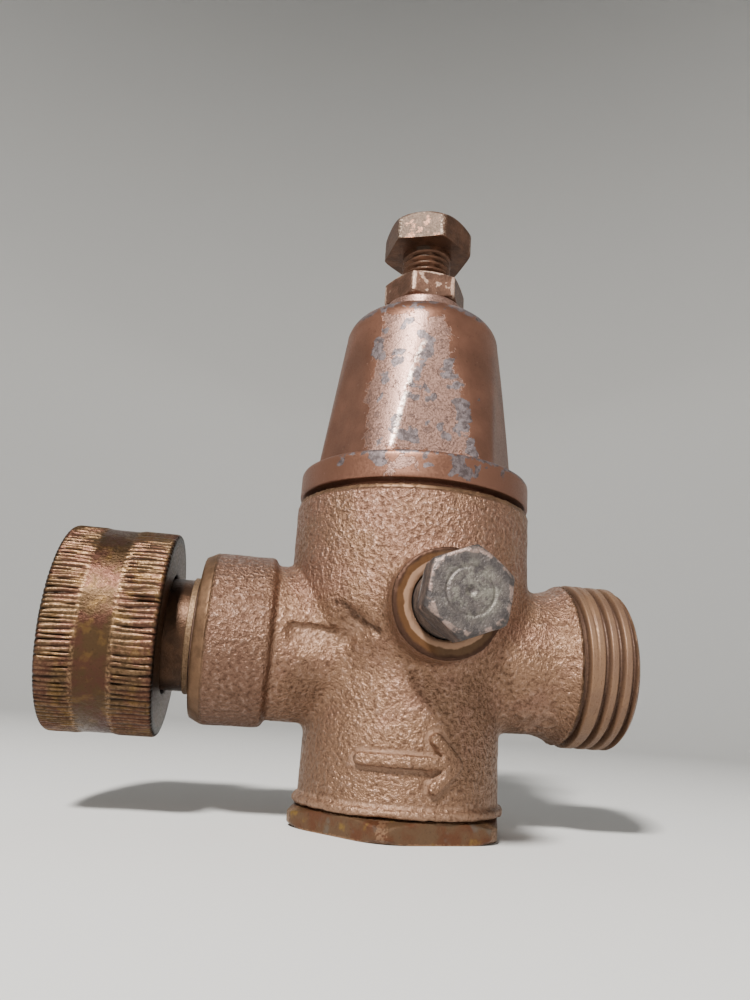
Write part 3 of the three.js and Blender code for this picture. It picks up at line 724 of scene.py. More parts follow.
def flow_arrow(p):
    """A raised arrow on the barrel's front that points along the flow."""
    u = np.arctan2(p[..., 0], -p[..., 1]) * BARREL_R
    v = p[..., 2]
    left, tip, level, barb = -8.2, 5.6, BODY_BASE + 7.6, 3.3
    stroke = 0.9
    tails = (left, level), (tip - barb, level + barb), (tip - barb, level - barb)
    line = least(*[segment(u, v, tail, (tip, level)) for tail in tails])
    r = spindle_radius(p)
    return soft_max(most(line - stroke, BARREL_R - 1.5 - r), r - (BARREL_R + 1.15), 0.4)


# The sunken patch between the inlet neck and the gauge boss, in X and Z.
HOLLOW_CREASE = [(-13.2, 32.6), (-11, 31.4), (-6.8, 28.4)]
HOLLOW_SOFT = [(-6.8, 28.4), (-10, 25.9), (-13.3, 23.2), (-15.5, 27), (-13.2, 32.6)]
HOLLOW_LEDGE_Z = 29.2
HOLLOW_DEPTH = 1.1


def line_distance(u, v, line):
    return least(*[segment(u, v, a, b) for a, b in zip(line, line[1:])])


def inside_outline(u, v, outline):
    """True where flat points lie within a closed outline."""
    inside = np.zeros(u.shape, bool)
    for (u0, v0), (u1, v1) in zip(outline, outline[1:] + outline[:1]):
        if v0 == v1:
            continue
        crosses = (v0 > v) != (v1 > v)
        inside ^= crosses & (u < u0 + (v - v0) * (u1 - u0) / (v1 - v0))
    return inside


def hollow_depth(p):
    """How deep the sunken patch is at each point: steep at its crease and under its ledge."""
    depth = np.zeros(p.shape[:-1])
    x, y, z = p[..., 0], p[..., 1], p[..., 2]
    near = (y < -5) & (x > -22.5) & (x < -6) & (z > 22.5) & (z < 33.5)
    if not near.any():
        return depth
    spots = p[near]
    u = spots[:, 0] + 0.25 * bumps(spots, 2.4, 21) + 0.2 * bumps(spots, 1, 22)
    v = spots[:, 2] + 0.2 * bumps(spots, 2.4, 23) + 0.2 * bumps(spots, 1, 24)
    under = HOLLOW_LEDGE_Z - v
    bed = ramp(0, 0.55, under) * ramp(5, 1.2, under)
    bed = bed * ramp(-20.8, -18.8, u) * ramp(-10.6, -13.2, u)
    to_crease = line_distance(u, v, HOLLOW_CREASE)
    within = inside_outline(u, v, HOLLOW_CREASE + HOLLOW_SOFT[1:-1])
    wedge = within * ramp(0, 0.6, to_crease)
    wedge = wedge * ramp(0, 2.4, line_distance(u, v, HOLLOW_SOFT))
    crease = 0.6 * np.exp(-((to_crease / 0.42) ** 2))
    fade = ramp(-13.6, -10.6, u)
    depth[near] = most(HOLLOW_DEPTH * most(0.75 * bed, wedge * fade), crease * fade)
    return depth


def casting(p):
    """Distance to the casting's outer skin, before its bores."""
    x, z = p[..., 0], p[..., 2]
    r = spindle_radius(p)
    slope = (CHAMBER_R - BARREL_R) / (CHAMBER_BASE - BARREL_TOP)
    lean = 1 / math.hypot(1, slope)
    barrel = cylinder(p, 2, BARREL_R, BODY_BASE + 0.8, CHAMBER_BASE)
    bowl = soft_max(r - CHAMBER_R, (r - BARREL_R - (z - BARREL_TOP) * slope) * lean, 1.6)
    bowl = most(bowl, z - (BODY_TOP - 0.6))
    lip = cylinder(p, 2, CHAMBER_R - 0.2, BODY_TOP - 3, BODY_TOP)
    rim = soft_max(r - RIM_R, most(BODY_BASE - z, z - RIM_TOP), 0.5)

    chamfer = (flow_radius(p) - (BOSS_R - 0.87) - (x - INLET_X) * 0.5) * 0.894
    boss = most(flow_radius(p) - BOSS_R, INLET_X - x)
    boss = soft_max(most(boss, chamfer), x - BOSS_BACK_X, 1.2)
    inlet_neck = cylinder(p, 0, INLET_NECK_R, BOSS_BACK_X - 3, -3)

    flaring = np.clip((x - FLARE_X) / (SHOULDER_X - FLARE_X), 0, 1) ** 2
    flare = OUTLET_NECK_R + (HOSE_CREST_R - 0.05 - OUTLET_NECK_R) * flaring
    outlet = most((flow_radius(p) - flare) * 0.85, 3 - x, x - SHOULDER_X)

    gauge = cylinder(p, 1, GAUGE_BOSS_R, GAUGE_Y, -8)

    whole = barrel
    for shape, blend in (
        (inlet_neck, 1.6), (rim, 0.35), (flow_arrow(p), 0.15), (bowl, 1.1), (boss, 0.7),
        (outlet, 1.8), (gauge, 1.5),
    ):
        whole = soft_min(whole, shape, blend)
    return least(whole + hollow_depth(p), lip)


def bores(p):
    """Distance to the hollow inside of the body, negative in the bores."""
    return least(
        cylinder(p, 2, 12.4, BODY_BASE - 2, 22.5),
        cylinder(p, 2, 14.9, BODY_BASE - 2, BODY_BASE + 1.3),
        cylinder(p, 2, 7.3, 21.5, 32.5),
        cylinder(p, 2, 15, CHAMBER_BASE, 43),
        cylinder(p, 2, 17.6, 42, BODY_TOP + 2),
        cylinder(p, 0, 8.2, INLET_X - 2, INLET_X + 11.65),
        capsule(p, 5.2, (-21, FLOW_Z - 1.5), (-10.5, 20)),
        cylinder(p, 0, 9, 20, OUTLET_X + 2),
        capsule(p, 6.4, (19, FLOW_Z + 2.2), (9.5, 36)),
        cylinder(p, 1, 5.2, GAUGE_Y - 2, -17.5),
        cylinder(p, 1, 3, -18, -12),
    )


def body_field(p):
    return soft_max(casting(p), -bores(p), 0.35)


def gradient(field, points, step=0.05):
    """The field's slope at each point, by central differences."""
    slopes = []
    for axis in range(3):
        shift = np.zeros(3)
        shift[axis] = step
        slopes.append((field(points + shift) - field(points - shift)) / (2 * step))
    return np.stack(slopes, -1)


def settle(field, points, reach, rounds=4):
    """Moves points onto the field's zero surface."""
    start = points.copy()
    for _ in range(rounds):
        slope = gradient(field, points)
        size = most((slope**2).sum(-1, keepdims=True), 0.25)
        points = points - field(points)[:, None] * slope / size
        points = start + np.clip(points - start, -reach, reach)
    return points


def surface_net(field, low, high, cell):
    """Quads over the field's zero surface, one point for each cell that it crosses."""
    counts = np.ceil((np.array(high) - low) / cell).astype(int) + 1
    axes = [low[i] + np.arange(counts[i]) * cell for i in range(3)]
    values = np.empty(counts, np.float32)
    for i, x in enumerate(axes[0]):
        y, z = np.meshgrid(axes[1], axes[2], indexing="ij")
        values[i] = field(np.stack([np.full_like(y, x), y, z], -1))
    inside = values < 0
    total = np.zeros((*(counts - 1), 3), np.float32)
    hits = np.zeros(counts - 1, np.int32)
    for axis in range(3):
        a = np.moveaxis(values, axis, 0)[:-1]
        b = np.moveaxis(values, axis, 0)[1:]
        cross = (a < 0) != (b < 0)
        t = np.where(cross, a / np.where(cross, a - b, 1), 0)
        others = [i for i in range(3) if i != axis]
        for du, dv in np.ndindex(2, 2):
            window = np.s_[:, du : du + counts[others[0]] - 1, dv : dv + counts[others[1]] - 1]
            crossing = np.moveaxis(cross[window], 0, axis)
            hits += crossing
            total[..., axis] += np.moveaxis(t[window], 0, axis)
            total[..., others[0]] += crossing * du
            total[..., others[1]] += crossing * dv
    active = hits > 0
    index = np.full(counts - 1, -1)
    index[active] = np.arange(active.sum())
    spots = np.argwhere(active)
    points = np.array(low) + (spots + total[active] / hits[active][:, None]) * cell
    faces = []
    for axis in range(3):
        a = np.moveaxis(inside, axis, 0)[:-1, 1:-1, 1:-1]
        b = np.moveaxis(inside, axis, 0)[1:, 1:-1, 1:-1]
        ids = np.moveaxis(index, axis, 0)
        i, j, k = np.argwhere(a != b).T
        quad = np.stack([ids[i, j, k], ids[i, j + 1, k], ids[i, j + 1, k + 1], ids[i, j, k + 1]], 1)
        turned_in = a[i, j, k] != (axis == 1)
        quad[~turned_in] = quad[~turned_in][:, ::-1]
        faces.append(quad)
    return points, np.concatenate(faces)


# Lumps of burnt-on sand under the outlet neck.
CRUMBS = [
    (17.9, -7.8, 18.2), (20.2, -6.8, 17.4), (22.6, -6.6, 17.3), (20, -5.2, 16.4), (21.4, -8.05, 18.4),
]


def crumbs(points):
    """How near each point is to a lump, from 0 to 1."""
    squares = [((points - np.array(spot)) ** 2).sum(-1) for spot in CRUMBS]
    return np.exp(-least(*squares) / 2.9)


def make_body():
    cell, margin, look_ahead = 0.47, 1.3, 1.3
    low = BODY_LOW - margin
    high = np.array([SHOULDER_X + 2.5, BODY_HIGH[1] + margin, BODY_TOP + margin])
    points, faces = surface_net(body_field, low, high, cell)
    points = settle(body_field, points, cell)
    normal = gradient(body_field, points)
    normal /= most(np.linalg.norm(normal, axis=-1, keepdims=True), 1e-6)
    outer = casting(points)
    x, y, z = points.T
    bored = ramp(0.25, 0.6, -outer)
    faced = ramp(BODY_TOP - 0.9, BODY_TOP - 0.6, z)
    faced = most(faced, ramp(INLET_X + 2.2, INLET_X + 1.7, x))
    faced = most(faced, ramp(SHOULDER_X - 0.35, SHOULDER_X - 0.1, x))
    at_gauge = ramp(GAUGE_Y + 0.5, GAUGE_Y + 0.2, y) * (gauge_radius(points) < GAUGE_BOSS_R + 1)
    faced = most(faced, at_gauge)
    machined = most(bored, faced)
    open_ahead = casting(points + normal * look_ahead)
    cavity = np.clip(1 - open_ahead / look_ahead, 0, 1) * (1 - bored)
    hollow = hollow_depth(points) / HOLLOW_DEPTH
    rough = 1 + 0.7 * ramp(RIM_TOP + 0.4, RIM_TOP - 0.4, z) + 1.6 * hollow
    swell = 0.08 * bumps(points, 6, 1) + 0.05 * bumps(points, 2.1, 2) + 0.06 * bumps(points, 1, 3)
    swell = swell * rough + 0.5 * crumbs(points) * bumps(points, 1, 4)
    points = points + normal * (swell * (1 - machined))[:, None]
    dusty = most(0.7 * hollow, 0.75 * crumbs(points))
    dusty = most(dusty, 0.6 * ramp(RIM_TOP + 0.3, RIM_TOP - 0.2, z))
    obj = new_object("cast_body", points, faces.tolist(), 180)
    face_out(obj)
    paint(obj, "machined", machined)
    paint(obj, "cavity", cavity)
    paint(obj, "dusty", dusty * (1 - machined))
    # Painted shade: a dark line along the hollow's crease and a dark patch under the inlet neck.
    off_crease = line_distance(x, z + 0.3 * bumps(points, 1.7, 25), HOLLOW_CREASE)
    painted_shade = ramp(0.45, 0.1, off_crease + 0.2 * bumps(points, 0.8, 26)) * (y < -5)
    neck_shade = ramp(1, 0.35, np.hypot((x + 17) / 4.4, (z - 20.8) / 4.6)) * (y < -4)
    paint(obj, "painted_shade", most(0.7 * painted_shade, 0.3 * neck_shade) * (1 - machined))
    return finish_piece(obj, CAST, ROOT, "body")


def make_outlet_thread():
    """The male hose thread: broad flat crests between narrow helical grooves."""
    groove_depth = 1

    def ridges(radius, height, theta):
        phase = helix_phase(height - THREAD_X, theta, HOSE_PITCH)
        groove = ramp(0.31, 0.07, np.abs(phase - 0.5))
        fade = ramp(SHOULDER_X + 2, SHOULDER_X + 2.7, height)
        groove = most(groove * fade, ramp(SHOULDER_X + 1.25, SHOULDER_X + 0.85, height))
        outer = radius > OUTLET_BORE_R + 1
        return np.where(outer, least(radius, HOSE_CREST_R - groove_depth * groove), radius)

    start = SHOULDER_X - 0.4
    profile = [
        (OUTLET_BORE_R + 1.5, start), (HOSE_CREST_R, start), (HOSE_CREST_R, OUTLET_X - 0.9, 0.3),
        (HOSE_CREST_R - 0.9, OUTLET_X, 0.3), (OUTLET_BORE_R, OUTLET_X, 0.5), (OUTLET_BORE_R, start),
    ]
    obj = turned("outlet_thread", profile, along_x, 240, ridges, 0.13, 60)
    co = places(obj)
    deep = ramp(HOSE_CREST_R - 0.25, HOSE_CREST_R - 0.9, flow_radius(co))
    outside = flow_radius(co) > OUTLET_BORE_R + 1.6
    paint(obj, "groove", deep * outside * (co[:, 0] < OUTLET_X - 0.6))
    return finish_piece(obj, THREAD, ROOT, "body")


# ---- The spring case, its screw and the nut that locks it ----


# Where the plating is worn away: height, then the left and right borders in degrees from -Y.
WORN_BORDERS = np.array([(57.4, -37, 22), (59, -39, 21), (68, -44, 14.5), (77, -41, 10), (82.6, -37, 6)])
# Grey remains of the plating: degrees, height and radius in millimetres.
GREY_SPOTS = [
    (7.6, 72.4, 1.3), (9, 73.8, 1), (5, 71.4, 0.8), (15, 66, 1.2), (16.4, 64, 1.3),
    (17.8, 62, 1.2), (19.5, 59.6, 1), (21, 58, 0.9), (-16.9, 60.2, 1.3), (-20.5, 61.4, 1),
    (-13.5, 59.4, 1.1), (-40.3, 76.3, 1.4), (-37.5, 74.8, 1.1), (-9.8, 77.9, 1), (-8.6, 76.2, 0.8),
    (-7.2, 74.6, 0.9), (-8, 72.6, 0.7), (-10.5, 70.8, 0.9), (-12.5, 68.6, 0.8), (-15, 66, 0.7),
    (-21.8, 80.7, 0.7), (-25.4, 79.9, 0.5), (-24, 75.2, 0.7), (27.5, 67.8, 0.4), (-3, 66.5, 0.7),
    (-27.5, 73, 0.9), (-6, 68.6, 0.6), (4, 61.4, 0.9), (7.5, 59.8, 0.8), (-34, 66, 0.6),
    (12, 69.6, 0.8), (-3.6, 62.6, 0.6), (-30, 58.5, 0.5), (-36, 79.5, 0.7), (-33, 70, 0.7),
    (10.5, 54.6, 1.1), (14.5, 53.4, 1.2), (-27.5, 54.6, 0.9), (-4, 53.4, 1), (24, 54.8, 0.7),
    (19, 53.9, 0.8), (-5, 55, 0.7), (34, 54.2, 0.7), (-46, 55, 0.6), (8, 53, 0.7),
]


def paint_wear(obj, z, r, degrees, flange_top, bell_top):
    """Worn and grey places of the plating, and a painted highlight along the ridge beside the front flat.
    """
    arc = np.radians(1) * r
    left = np.interp(z, WORN_BORDERS[:, 0], WORN_BORDERS[:, 1])
    right = np.interp(z, WORN_BORDERS[:, 0], WORN_BORDERS[:, 2])
    rise = z - flange_top
    inside = least(
        (degrees - left) * arc, (right - degrees) * arc, rise - 0.9, WORN_BORDERS[-1, 0] - z,
    )
    on_flange = least((degrees + 23) * arc, (-6 - degrees) * arc, rise + 3.6, -1.4 - rise)
    worn = np.clip(0.5 + most(inside, on_flange) / 7, 0, 1) * (r > BELL_OUTSIDE_R)
    worn = most(worn, (z > bell_top + 5) * (r > 5))

    grey = np.zeros(len(z))
    spots = np.stack([degrees * arc, z, r], -1)
    shift = 0.95 * bumps(spots, 1.5, 31) + 0.4 * bumps(spots, 0.8, 32)
    lift = 0.95 * bumps(spots, 1.5, 33) + 0.4 * bumps(spots, 0.8, 34)
    for angle, height, size in GREY_SPOTS:
        away = np.hypot((degrees - angle) * arc + shift, z - height + lift)
        grey = most(grey, np.clip(1.05 - 0.5 * away / size, 0, 1))
    shoulder = 0.56 * ramp(bell_top - 0.4, bell_top + 2.2, z) * (z < bell_top + 5.05)
    rim = ramp(1.1, 0.3, np.abs(rise + 0.3)) * ramp(-60, -48, degrees)
    rim = 0.56 * rim * ramp(70, 55, degrees)
    grey = most(grey, shoulder, rim) * (r > 8)

    climb = (rise - BELL_FOOT_RISE) / (bell_top - flange_top - BELL_FOOT_RISE)
    bell_r = BELL_FOOT_R - (BELL_FOOT_R - BELL_TOP_R) * climb
    apothem = BELL_FLAT - BELL_TAPER * rise
    ridge = np.degrees(np.arccos(np.clip(apothem / bell_r, 0, 1)))
    off = np.abs(degrees + ridge) * arc
    paint(obj, "worn", worn)
    paint(obj, "grey", grey)
    # Here the edge value marks a painted highlight along the ridge left of the front flat.
    paint(obj, "edge", ramp(0.5, 0.1, off) * (rise > 1.5) * (z < 77) * (r > BELL_OUTSIDE_R))


def make_bonnet():
    """A round flange under a tapered bell that is cut by six wrench flats."""
    spigot, top = heights("bonnet")
    base = BODY_TOP + 0.95
    flange_top = base + 4.55
    bell_top = flange_top + 25.9
    shoulder = [
        (BELL_TOP_R - 5.5 * (1 - math.cos(a)), bell_top + 4.95 * math.sin(a))
        for a in np.radians(np.arange(7, 85, 7))
    ]
    profile = [
        (16, spigot), (17.4, spigot, 0.4), (17.4, base), (FLANGE_R, base, 0.35),
        (FLANGE_R, flange_top, 0.9), (17.4, flange_top + 0.1, 0.6),
        (BELL_FOOT_R, flange_top + BELL_FOOT_RISE), (BELL_TOP_R, bell_top), *shoulder,
        (BONNET_BOSS_R, bell_top + 5.1, 0.5), (BONNET_BOSS_R, top, 0.5),
        (SCREW_BORE_R, top, 0.3), (SCREW_BORE_R, bell_top + 0.5), (8, bell_top + 0.5, 0.6),
        (BELL_ROOM_R, bell_top - 5, 0.8), (BELL_ROOM_R, base + 3, 0.6), (14.6, base), (14.6, spigot),
    ]

    def flats(radius, height, theta):
        foot = 0.9 * np.clip(1 - (height - flange_top) / 1.1, 0, 1) ** 2
        apothem = BELL_FLAT - BELL_TAPER * (height - flange_top)
        limit = apothem / np.cos(off_flat(theta, 0)) + foot
        cut = soft_min(radius, limit, 0.3)
        return np.where((height > flange_top + 0.11) & (radius > 12.5), cut, radius)

    obj = turned("spring_case", profile, along_z, 288, flats, 0.55, 35)
    x, y, z = places(obj).T
    paint_wear(obj, z, np.hypot(x, y), np.degrees(np.arctan2(x, -y)), flange_top, bell_top)
    return finish_piece(obj, PLATED, ROOT, "bonnet")


def make_adjusting_screw():
    tip, top = heights("adjusting_screw")
    head = top - 5.6
    flat, thread_r = 7.35, 4.6
    corner = flat / math.cos(HALF_FLAT)
    profile = [
        (0, tip), (2, tip, 0.2), (thread_r, tip + 2.9), (thread_r, head), (corner, head, 0.5),
        (corner, top - 1.2, 0.5), (corner - 1.3, top, 0.5), (flat - 1.6, top), (0, top),
    ]

    def shape(radius, height, theta):
        phase = helix_phase(height, theta, SCREW_PITCH)
        groove = SCREW_PITCH * 0.52 * (0.5 + 0.5 * np.cos(TURN * phase)) ** 1.3
        live = ramp(tip + 1.5, tip + 3.2, height) * ramp(head - 0.5, head - 1.4, height)
        threaded = np.where((radius > 3.5) & (radius < thread_r + 0.01), radius - groove * live, radius)
        headed = hexagon_cut(radius, theta, flat, SCREW_FACING, 0.4)
        return np.where((height > head - 0.05) & (radius > thread_r + 0.2), headed, threaded)

    obj = turned("adjusting_screw_look", profile, along_z, 168, shape, 0.18, 40)
    paint(obj, "edge", hexagon_edges(obj, flat, SCREW_FACING, head, top))
    return finish_piece(obj, SCREW_BRONZE, "adjusting_screw", "adjusting_screw")


def hexagon_edges(obj, flat, facing, low, high):
    """How near each point of a hexagon is to an edge, from 0 to 1."""
    x, y, z = places(obj).T
    r = np.hypot(x, y)
    corner = ramp(0.44, 0.51, np.abs(off_flat(np.arctan2(x, -y), facing))) * (r > flat - 0.3)
    ends = ramp(0.6, 0.1, np.abs(z - high)) * (r > flat - 0.8)
    return most(corner, ends) * (z > low + 0.1)


def make_lock_nut():
    low, high = heights("lock_nut")
    flat = 6.7
    corner = flat / math.cos(HALF_FLAT)
    profile = [
        (6, low), (flat + 0.1, low, 0.1), (corner, low + 0.5), (corner, high - 0.5),
        (flat - 0.1, high, 0.15), (5.1, high, 0.1), (SCREW_BORE_R, high - 0.4), (SCREW_BORE_R, low),
    ]
    shape = hexagonal(flat, NUT_FACING, 0.2, flat - 0.6)
    obj = turned("lock_nut_look", profile, along_z, 144, shape, 0.3, 40)
    paint(obj, "edge", hexagon_edges(obj, flat, NUT_FACING, low, high))
    return finish_piece(obj, NUT_BRONZE, "lock_nut", "lock_nut")


# ---- Plug and cap ----


def make_gauge_plug():
    inner, face = PLUG_HIGH[1], PLUG_LOW[1]
    head = face + 5
    flat, facing = 5.5, 38.5
    corner = flat / math.cos(HALF_FLAT)
    profile = [
        (0, inner), (4.7, inner, 0.2), (5.05, GAUGE_Y), (5.05, head), (corner, head, 0.25),
        (corner, face + 0.75, 0.3), (corner - 1, face, 0.35), (3.4, face, 0.1), (3.1, face + 0.13, 0.1),
        (2.8, face, 0.1), (0.75, face, 0.2), (0, face + 0.45),
    ]
    shape = hexagonal(flat, facing, 0.35, 4.4, high=head + 0.05)
    obj = turned("gauge_plug_look", profile, along_gauge, 168, shape, 0.28, 50)
    co = places(obj)
    r = gauge_radius(co)
    x, y, z = co.T
    off = off_flat(np.arctan2(x - GAUGE_X, z - GAUGE_Z), facing)
    corner_edge = ramp(0.42, 0.51, np.abs(off)) * (r > flat - 0.3)
    rim = ramp(0.8, 0.2, np.abs(y - face)) * ramp(4.5, 5.1, r)
    paint(obj, "edge", most(corner_edge, rim) * (y < head))
    paint(obj, "centre", ramp(4.6, 3, r) * (y < face + 0.6))
    swell = 0.05 * bumps(co, 1.3, 11) + 0.05 * bumps(co, 3, 12) - 0.06
    normal = np.zeros(len(co) * 3, np.float32)
    obj.data.vertices.foreach_get("normal", normal)
    moved = co + normal.reshape(-1, 3) * (swell * (y < head))[:, None]
    obj.data.vertices.foreach_set("co", (moved * MM).ravel().astype(np.float32))
    return finish_piece(obj, PLUG_STEEL, ROOT, "gauge_plug")


def make_bottom_cap():
    flat, corner = 15.7, 17.6
    plate, spigot_top = BODY_BASE - 0.1, heights("bottom_cap")[1]
    profile = [
        (0, 0), (corner - 0.9, 0, 0.3), (corner, 0.7, 0.3), (corner, plate - 0.95),
        (flat - 0.35, plate, 0.1), (12.1, plate), (12.1, spigot_top - 0.6), (11.5, spigot_top),
        (10, spigot_top, 0.2), (10, 3.6, 0.4), (3.2, 3.6, 0.4), (3.2, 8.4, 0.3), (2.05, 8.4),
        (2.05, 4.4), (0, 4.4),
    ]
    shape = hexagonal(flat, CAP_FACING, 0.25, 12.5, high=plate + 0.05)
    obj = turned("bottom_cap_look", profile, along_z, 240, shape, 0.4, 45)
    x, y, z = places(obj).T
    off = off_flat(np.arctan2(x, -y), CAP_FACING)
    side = (np.hypot(x, y) > flat - 0.5) * (z < plate + 0.1)
    ends = ramp(0.5, 0.1, least(z, plate - z))
    paint(obj, "edge", most(ramp(0.44, 0.5, np.abs(off)), ends) * side)
    return finish_piece(obj, CAP_BRONZE, ROOT, "bottom_cap")


# ---- Swivel coupling ----


def make_tailpiece():
    left, right = [corner[0] for corner in cad_box("tailpiece")]
    lip = SWIVEL_HIGH[0] - 3.1
    collar = INLET_X - 0.55
    profile = [
        (7.5, left), (8.4, left, 0.4), (8.4, lip - 2), (12.3, lip - 2, 0.3), (12.3, lip, 0.3), (8.8, lip),
        (8.8, collar - 0.9), (9.2, collar - 0.9, 0.2), (9.2, collar), (8, collar), (8, right),
        (6.2, right), (6.2, left, 0.3),
    ]
    obj = turned("tailpiece_look", profile, along_x, 144, None, 0.5, 45)
    co = places(obj)
    paint(obj, "edge", 2 * (flow_radius(co) > 8.95) * (co[:, 0] > collar - 1.2))
    return finish_piece(obj, TAIL_BRASS, ROOT, "tailpiece")


def make_swivel_nut():
    left, right = SWIVEL_LOW[0], SWIVEL_HIGH[0]
    web = right - 3
    bands = (left + 5.1, left + 10.3)
    profile = [
        (14.2, left), (SWIVEL_R, left, 0.8), (SWIVEL_R, bands[0]), (SWIVEL_R, bands[1]),
        (SWIVEL_R, right, 0.7), (9.4, right, 0.3), (9.4, web, 0.2), (13, web), (13, left, 0.5),
    ]

    def ridges(theta, count, height, seed):
        wander = 0.5 * np.sin(height * 0.9 + seed + 3 * theta) + 0.8 * np.sin(5 * theta + seed)
        wander = wander + 0.7 * np.sin(17 * theta + 2 * seed)
        wander = wander + 0.9 * np.sin(41 * theta + 3 * seed + 0.35 * height)
        wave = 0.5 + 0.5 * np.cos(count * theta + wander)
        return wave**0.5

    def knurl(radius, height, theta):
        outside = radius > 14
        first = ramp(bands[0] + 0.25, bands[0] - 0.25, height)
        last = ramp(bands[1] - 0.25, bands[1] + 0.25, height)
        points = along_x(radius, height, theta)
        spread = points * np.array([0.35, 1, 1])
        worn = 0.66 + 0.25 * bumps(points, 3.4, 5) + 0.42 * bumps(spread, 0.8, 8)
        worn = np.clip(worn, 0.1, 1.2)
        low = first * (1 - ridges(theta, 132, height, 0)) * 0.42 * worn
        low = low + last * (1 - ridges(theta, 112, height, 1.7)) * 0.38 * worn
        low = low + (1 - first - last) * (0.2 + 0.05 * bumps(points, 1.4, 6))
        thread = 0.55 * (0.5 + 0.5 * np.cos(TURN * helix_phase(height, theta, HOSE_PITCH)))
        inside = (radius < 13.3) & (radius > 12.9) & (height < web - 1) & (height > left + 0.6)
        return np.where(outside, radius - low, np.where(inside, radius - thread, radius))

    obj = turned("swivel_nut_look", profile, along_x, 660, knurl, 0.5, 60)
    co = places(obj)
    r = flow_radius(co)
    crest = ramp(SWIVEL_R - 0.42, SWIVEL_R - 0.02, r)
    x = co[:, 0]
    plain = (x > bands[0]) & (x < bands[1])
    nearest = least(np.abs(x - bands[0]), np.abs(x - bands[1]))
    paint(obj, "crest", np.where(plain, 0.74, np.where(r < 14.6, 0.68, crest)))
    paint(obj, "burr", ramp(0.4, 0.15, nearest) * (r > SWIVEL_R - 0.6))
    return finish_piece(obj, KNURLED, "swivel_nut", "swivel_nut")


# ---- Inner parts ----


def make_spring(name, node, coil_r, wire, turns, sides=12, steps=30):
    """A wire wound round the spindle, with closed end turns, as tall as its CAD node."""
    low, high = heights(node)
    bottom, top = low + wire / 2, high - wire / 2
    turn = np.linspace(0, turns, int(turns * steps) + 1)
    closed = wire * 1.04
    open_pitch = (top - bottom - 2 * closed) / (turns - 2)
    rise = least(turn, 1) * closed + most(0, turn - turns + 1) * closed
    height = bottom + rise + np.clip(turn - 1, 0, turns - 2) * open_pitch
    angle = turn * TURN
    path = np.stack([coil_r * np.cos(angle), coil_r * np.sin(angle), height], -1)
    out = np.stack([np.cos(angle), np.sin(angle), np.zeros_like(angle)], -1)
    section = np.arange(sides) * TURN / sides
    rings = (
        path[:, None]
        + out[:, None] * (np.cos(section) * wire / 2)[None, :, None]
        + np.array([0, 0, 1]) * (np.sin(section) * wire / 2)[None, :, None]
    )
    ends = [np.repeat(path[i][None, None], sides, 1) for i in (0, -1)]
    obj = skin(name, np.concatenate([ends[0], rings, ends[1]]), False, 50)
    return finish_piece(obj, SPRING_STEEL, ROOT, node)


def make_inner_ring(node, profile, look, body, shape=None, place=along_z):
    """A turned part that stands for a CAD node inside the valve."""
    obj = turned(node + "_look", profile, place, 96, shape, 0.8, 40)
    return finish_piece(obj, look, body, node)


def make_brass(node, body, profile, shape=None):
    make_inner_ring(node, profile, INNER_BRASS, body, shape)


def make_plain_ring(node, inner, look, body, place=along_z):
    """A square-edged ring as large as its CAD node."""
    low, high = cad_box(node)
    axis = 0 if place is along_x else 2
    outer = (high[1] - low[1]) / 2
    profile = ring_profile(inner, outer, low[axis], high[axis])
    return make_inner_ring(node, profile, look, body, None, place)


def make_inner_parts():
    """The parts that the valve must hold inside, after their CAD shapes."""
    stem = "stem_assembly"
    make_plain_ring("seat_gasket", 7.35, FIBRE, ROOT)
    make_plain_ring("cap_gasket", 12.5, FIBRE, ROOT)
    make_plain_ring("slip_ring", 14.8, INNER_BRASS, ROOT)
    make_plain_ring("seat_disc", STEM_HOLE_R, RUBBER, stem)
    make_plain_ring("diaphragm_washer", STEM_HOLE_R, INNER_BRASS, stem)
    make_plain_ring("tailpiece_washer", 8.25, FIBRE, ROOT, along_x)
    make_plain_ring("hose_washer", 8.6, RUBBER, "swivel_nut", along_x)

    low, high = heights("valve_seat")
    flange = CHAMBER_BASE + 0.45
    wrench_flats = hexagonal(8.5, 0, 0.15, 7.5, flange - 0.05, high + 1)
    make_brass("valve_seat", ROOT, [
        (4.5, 25), (4.5, low, 0.2), (5, low, 0.2), (5.6, 22.5), (7.1, 22.9), (7.1, flange),
        (9.6, flange, 0.2), (9.6, high, 0.3), (4.5, high, 0.3),
    ], wrench_flats)

    low, high = heights("valve_stem")
    make_brass("valve_stem", stem, [
        (0, low), (1.85, low, 0.5), (1.85, 10.6), (2.2, 10.6), (2.2, 20.6), (3.7, 20.6),
        (3.7, 21.9, 0.2), (3, 21.9), (3, 44.3), (2.2, 44.3), (2.2, high, 0.5), (0, high),
    ])

    low, high = heights("disc_holder")
    make_brass("disc_holder", stem, [
        (4, low), (7.4, low, 0.8), (7.4, high, 0.2), (6.5, high, 0.2), (6.5, high - 2),
        (STEM_HOLE_R, high - 2), (STEM_HOLE_R, low),
    ])

    for node, outer, apothem, inner in (("disc_nut", 3.65, 3.2, 2.6), ("diaphragm_nut", 4.3, 3.75, 3)):
        profile = ring_profile(STEM_HOLE_R, outer, *heights(node), 0.3)
        make_brass(node, stem, profile, hexagonal(apothem, 0, 0.15, inner))

    low, high = heights("pressure_plate")
    make_brass("pressure_plate", stem, [
        (6, low), (10, low, 0.4), (10, high - 2, 0.2), (6.2, high - 2), (6, high, 0.2),
        (5, high), (5, high - 2), (STEM_HOLE_R, high - 2), (STEM_HOLE_R, low),
    ])

    low, high = heights("spring_button")
    make_brass("spring_button", "spring_button", [
        (0, low), (10.2, low, 0.3), (10.2, low + 2.4, 0.3), (7.6, high, 0.3), (4.9, high, 0.2),
        (2.4, high - 2.2), (0, high - 2.2),
    ])


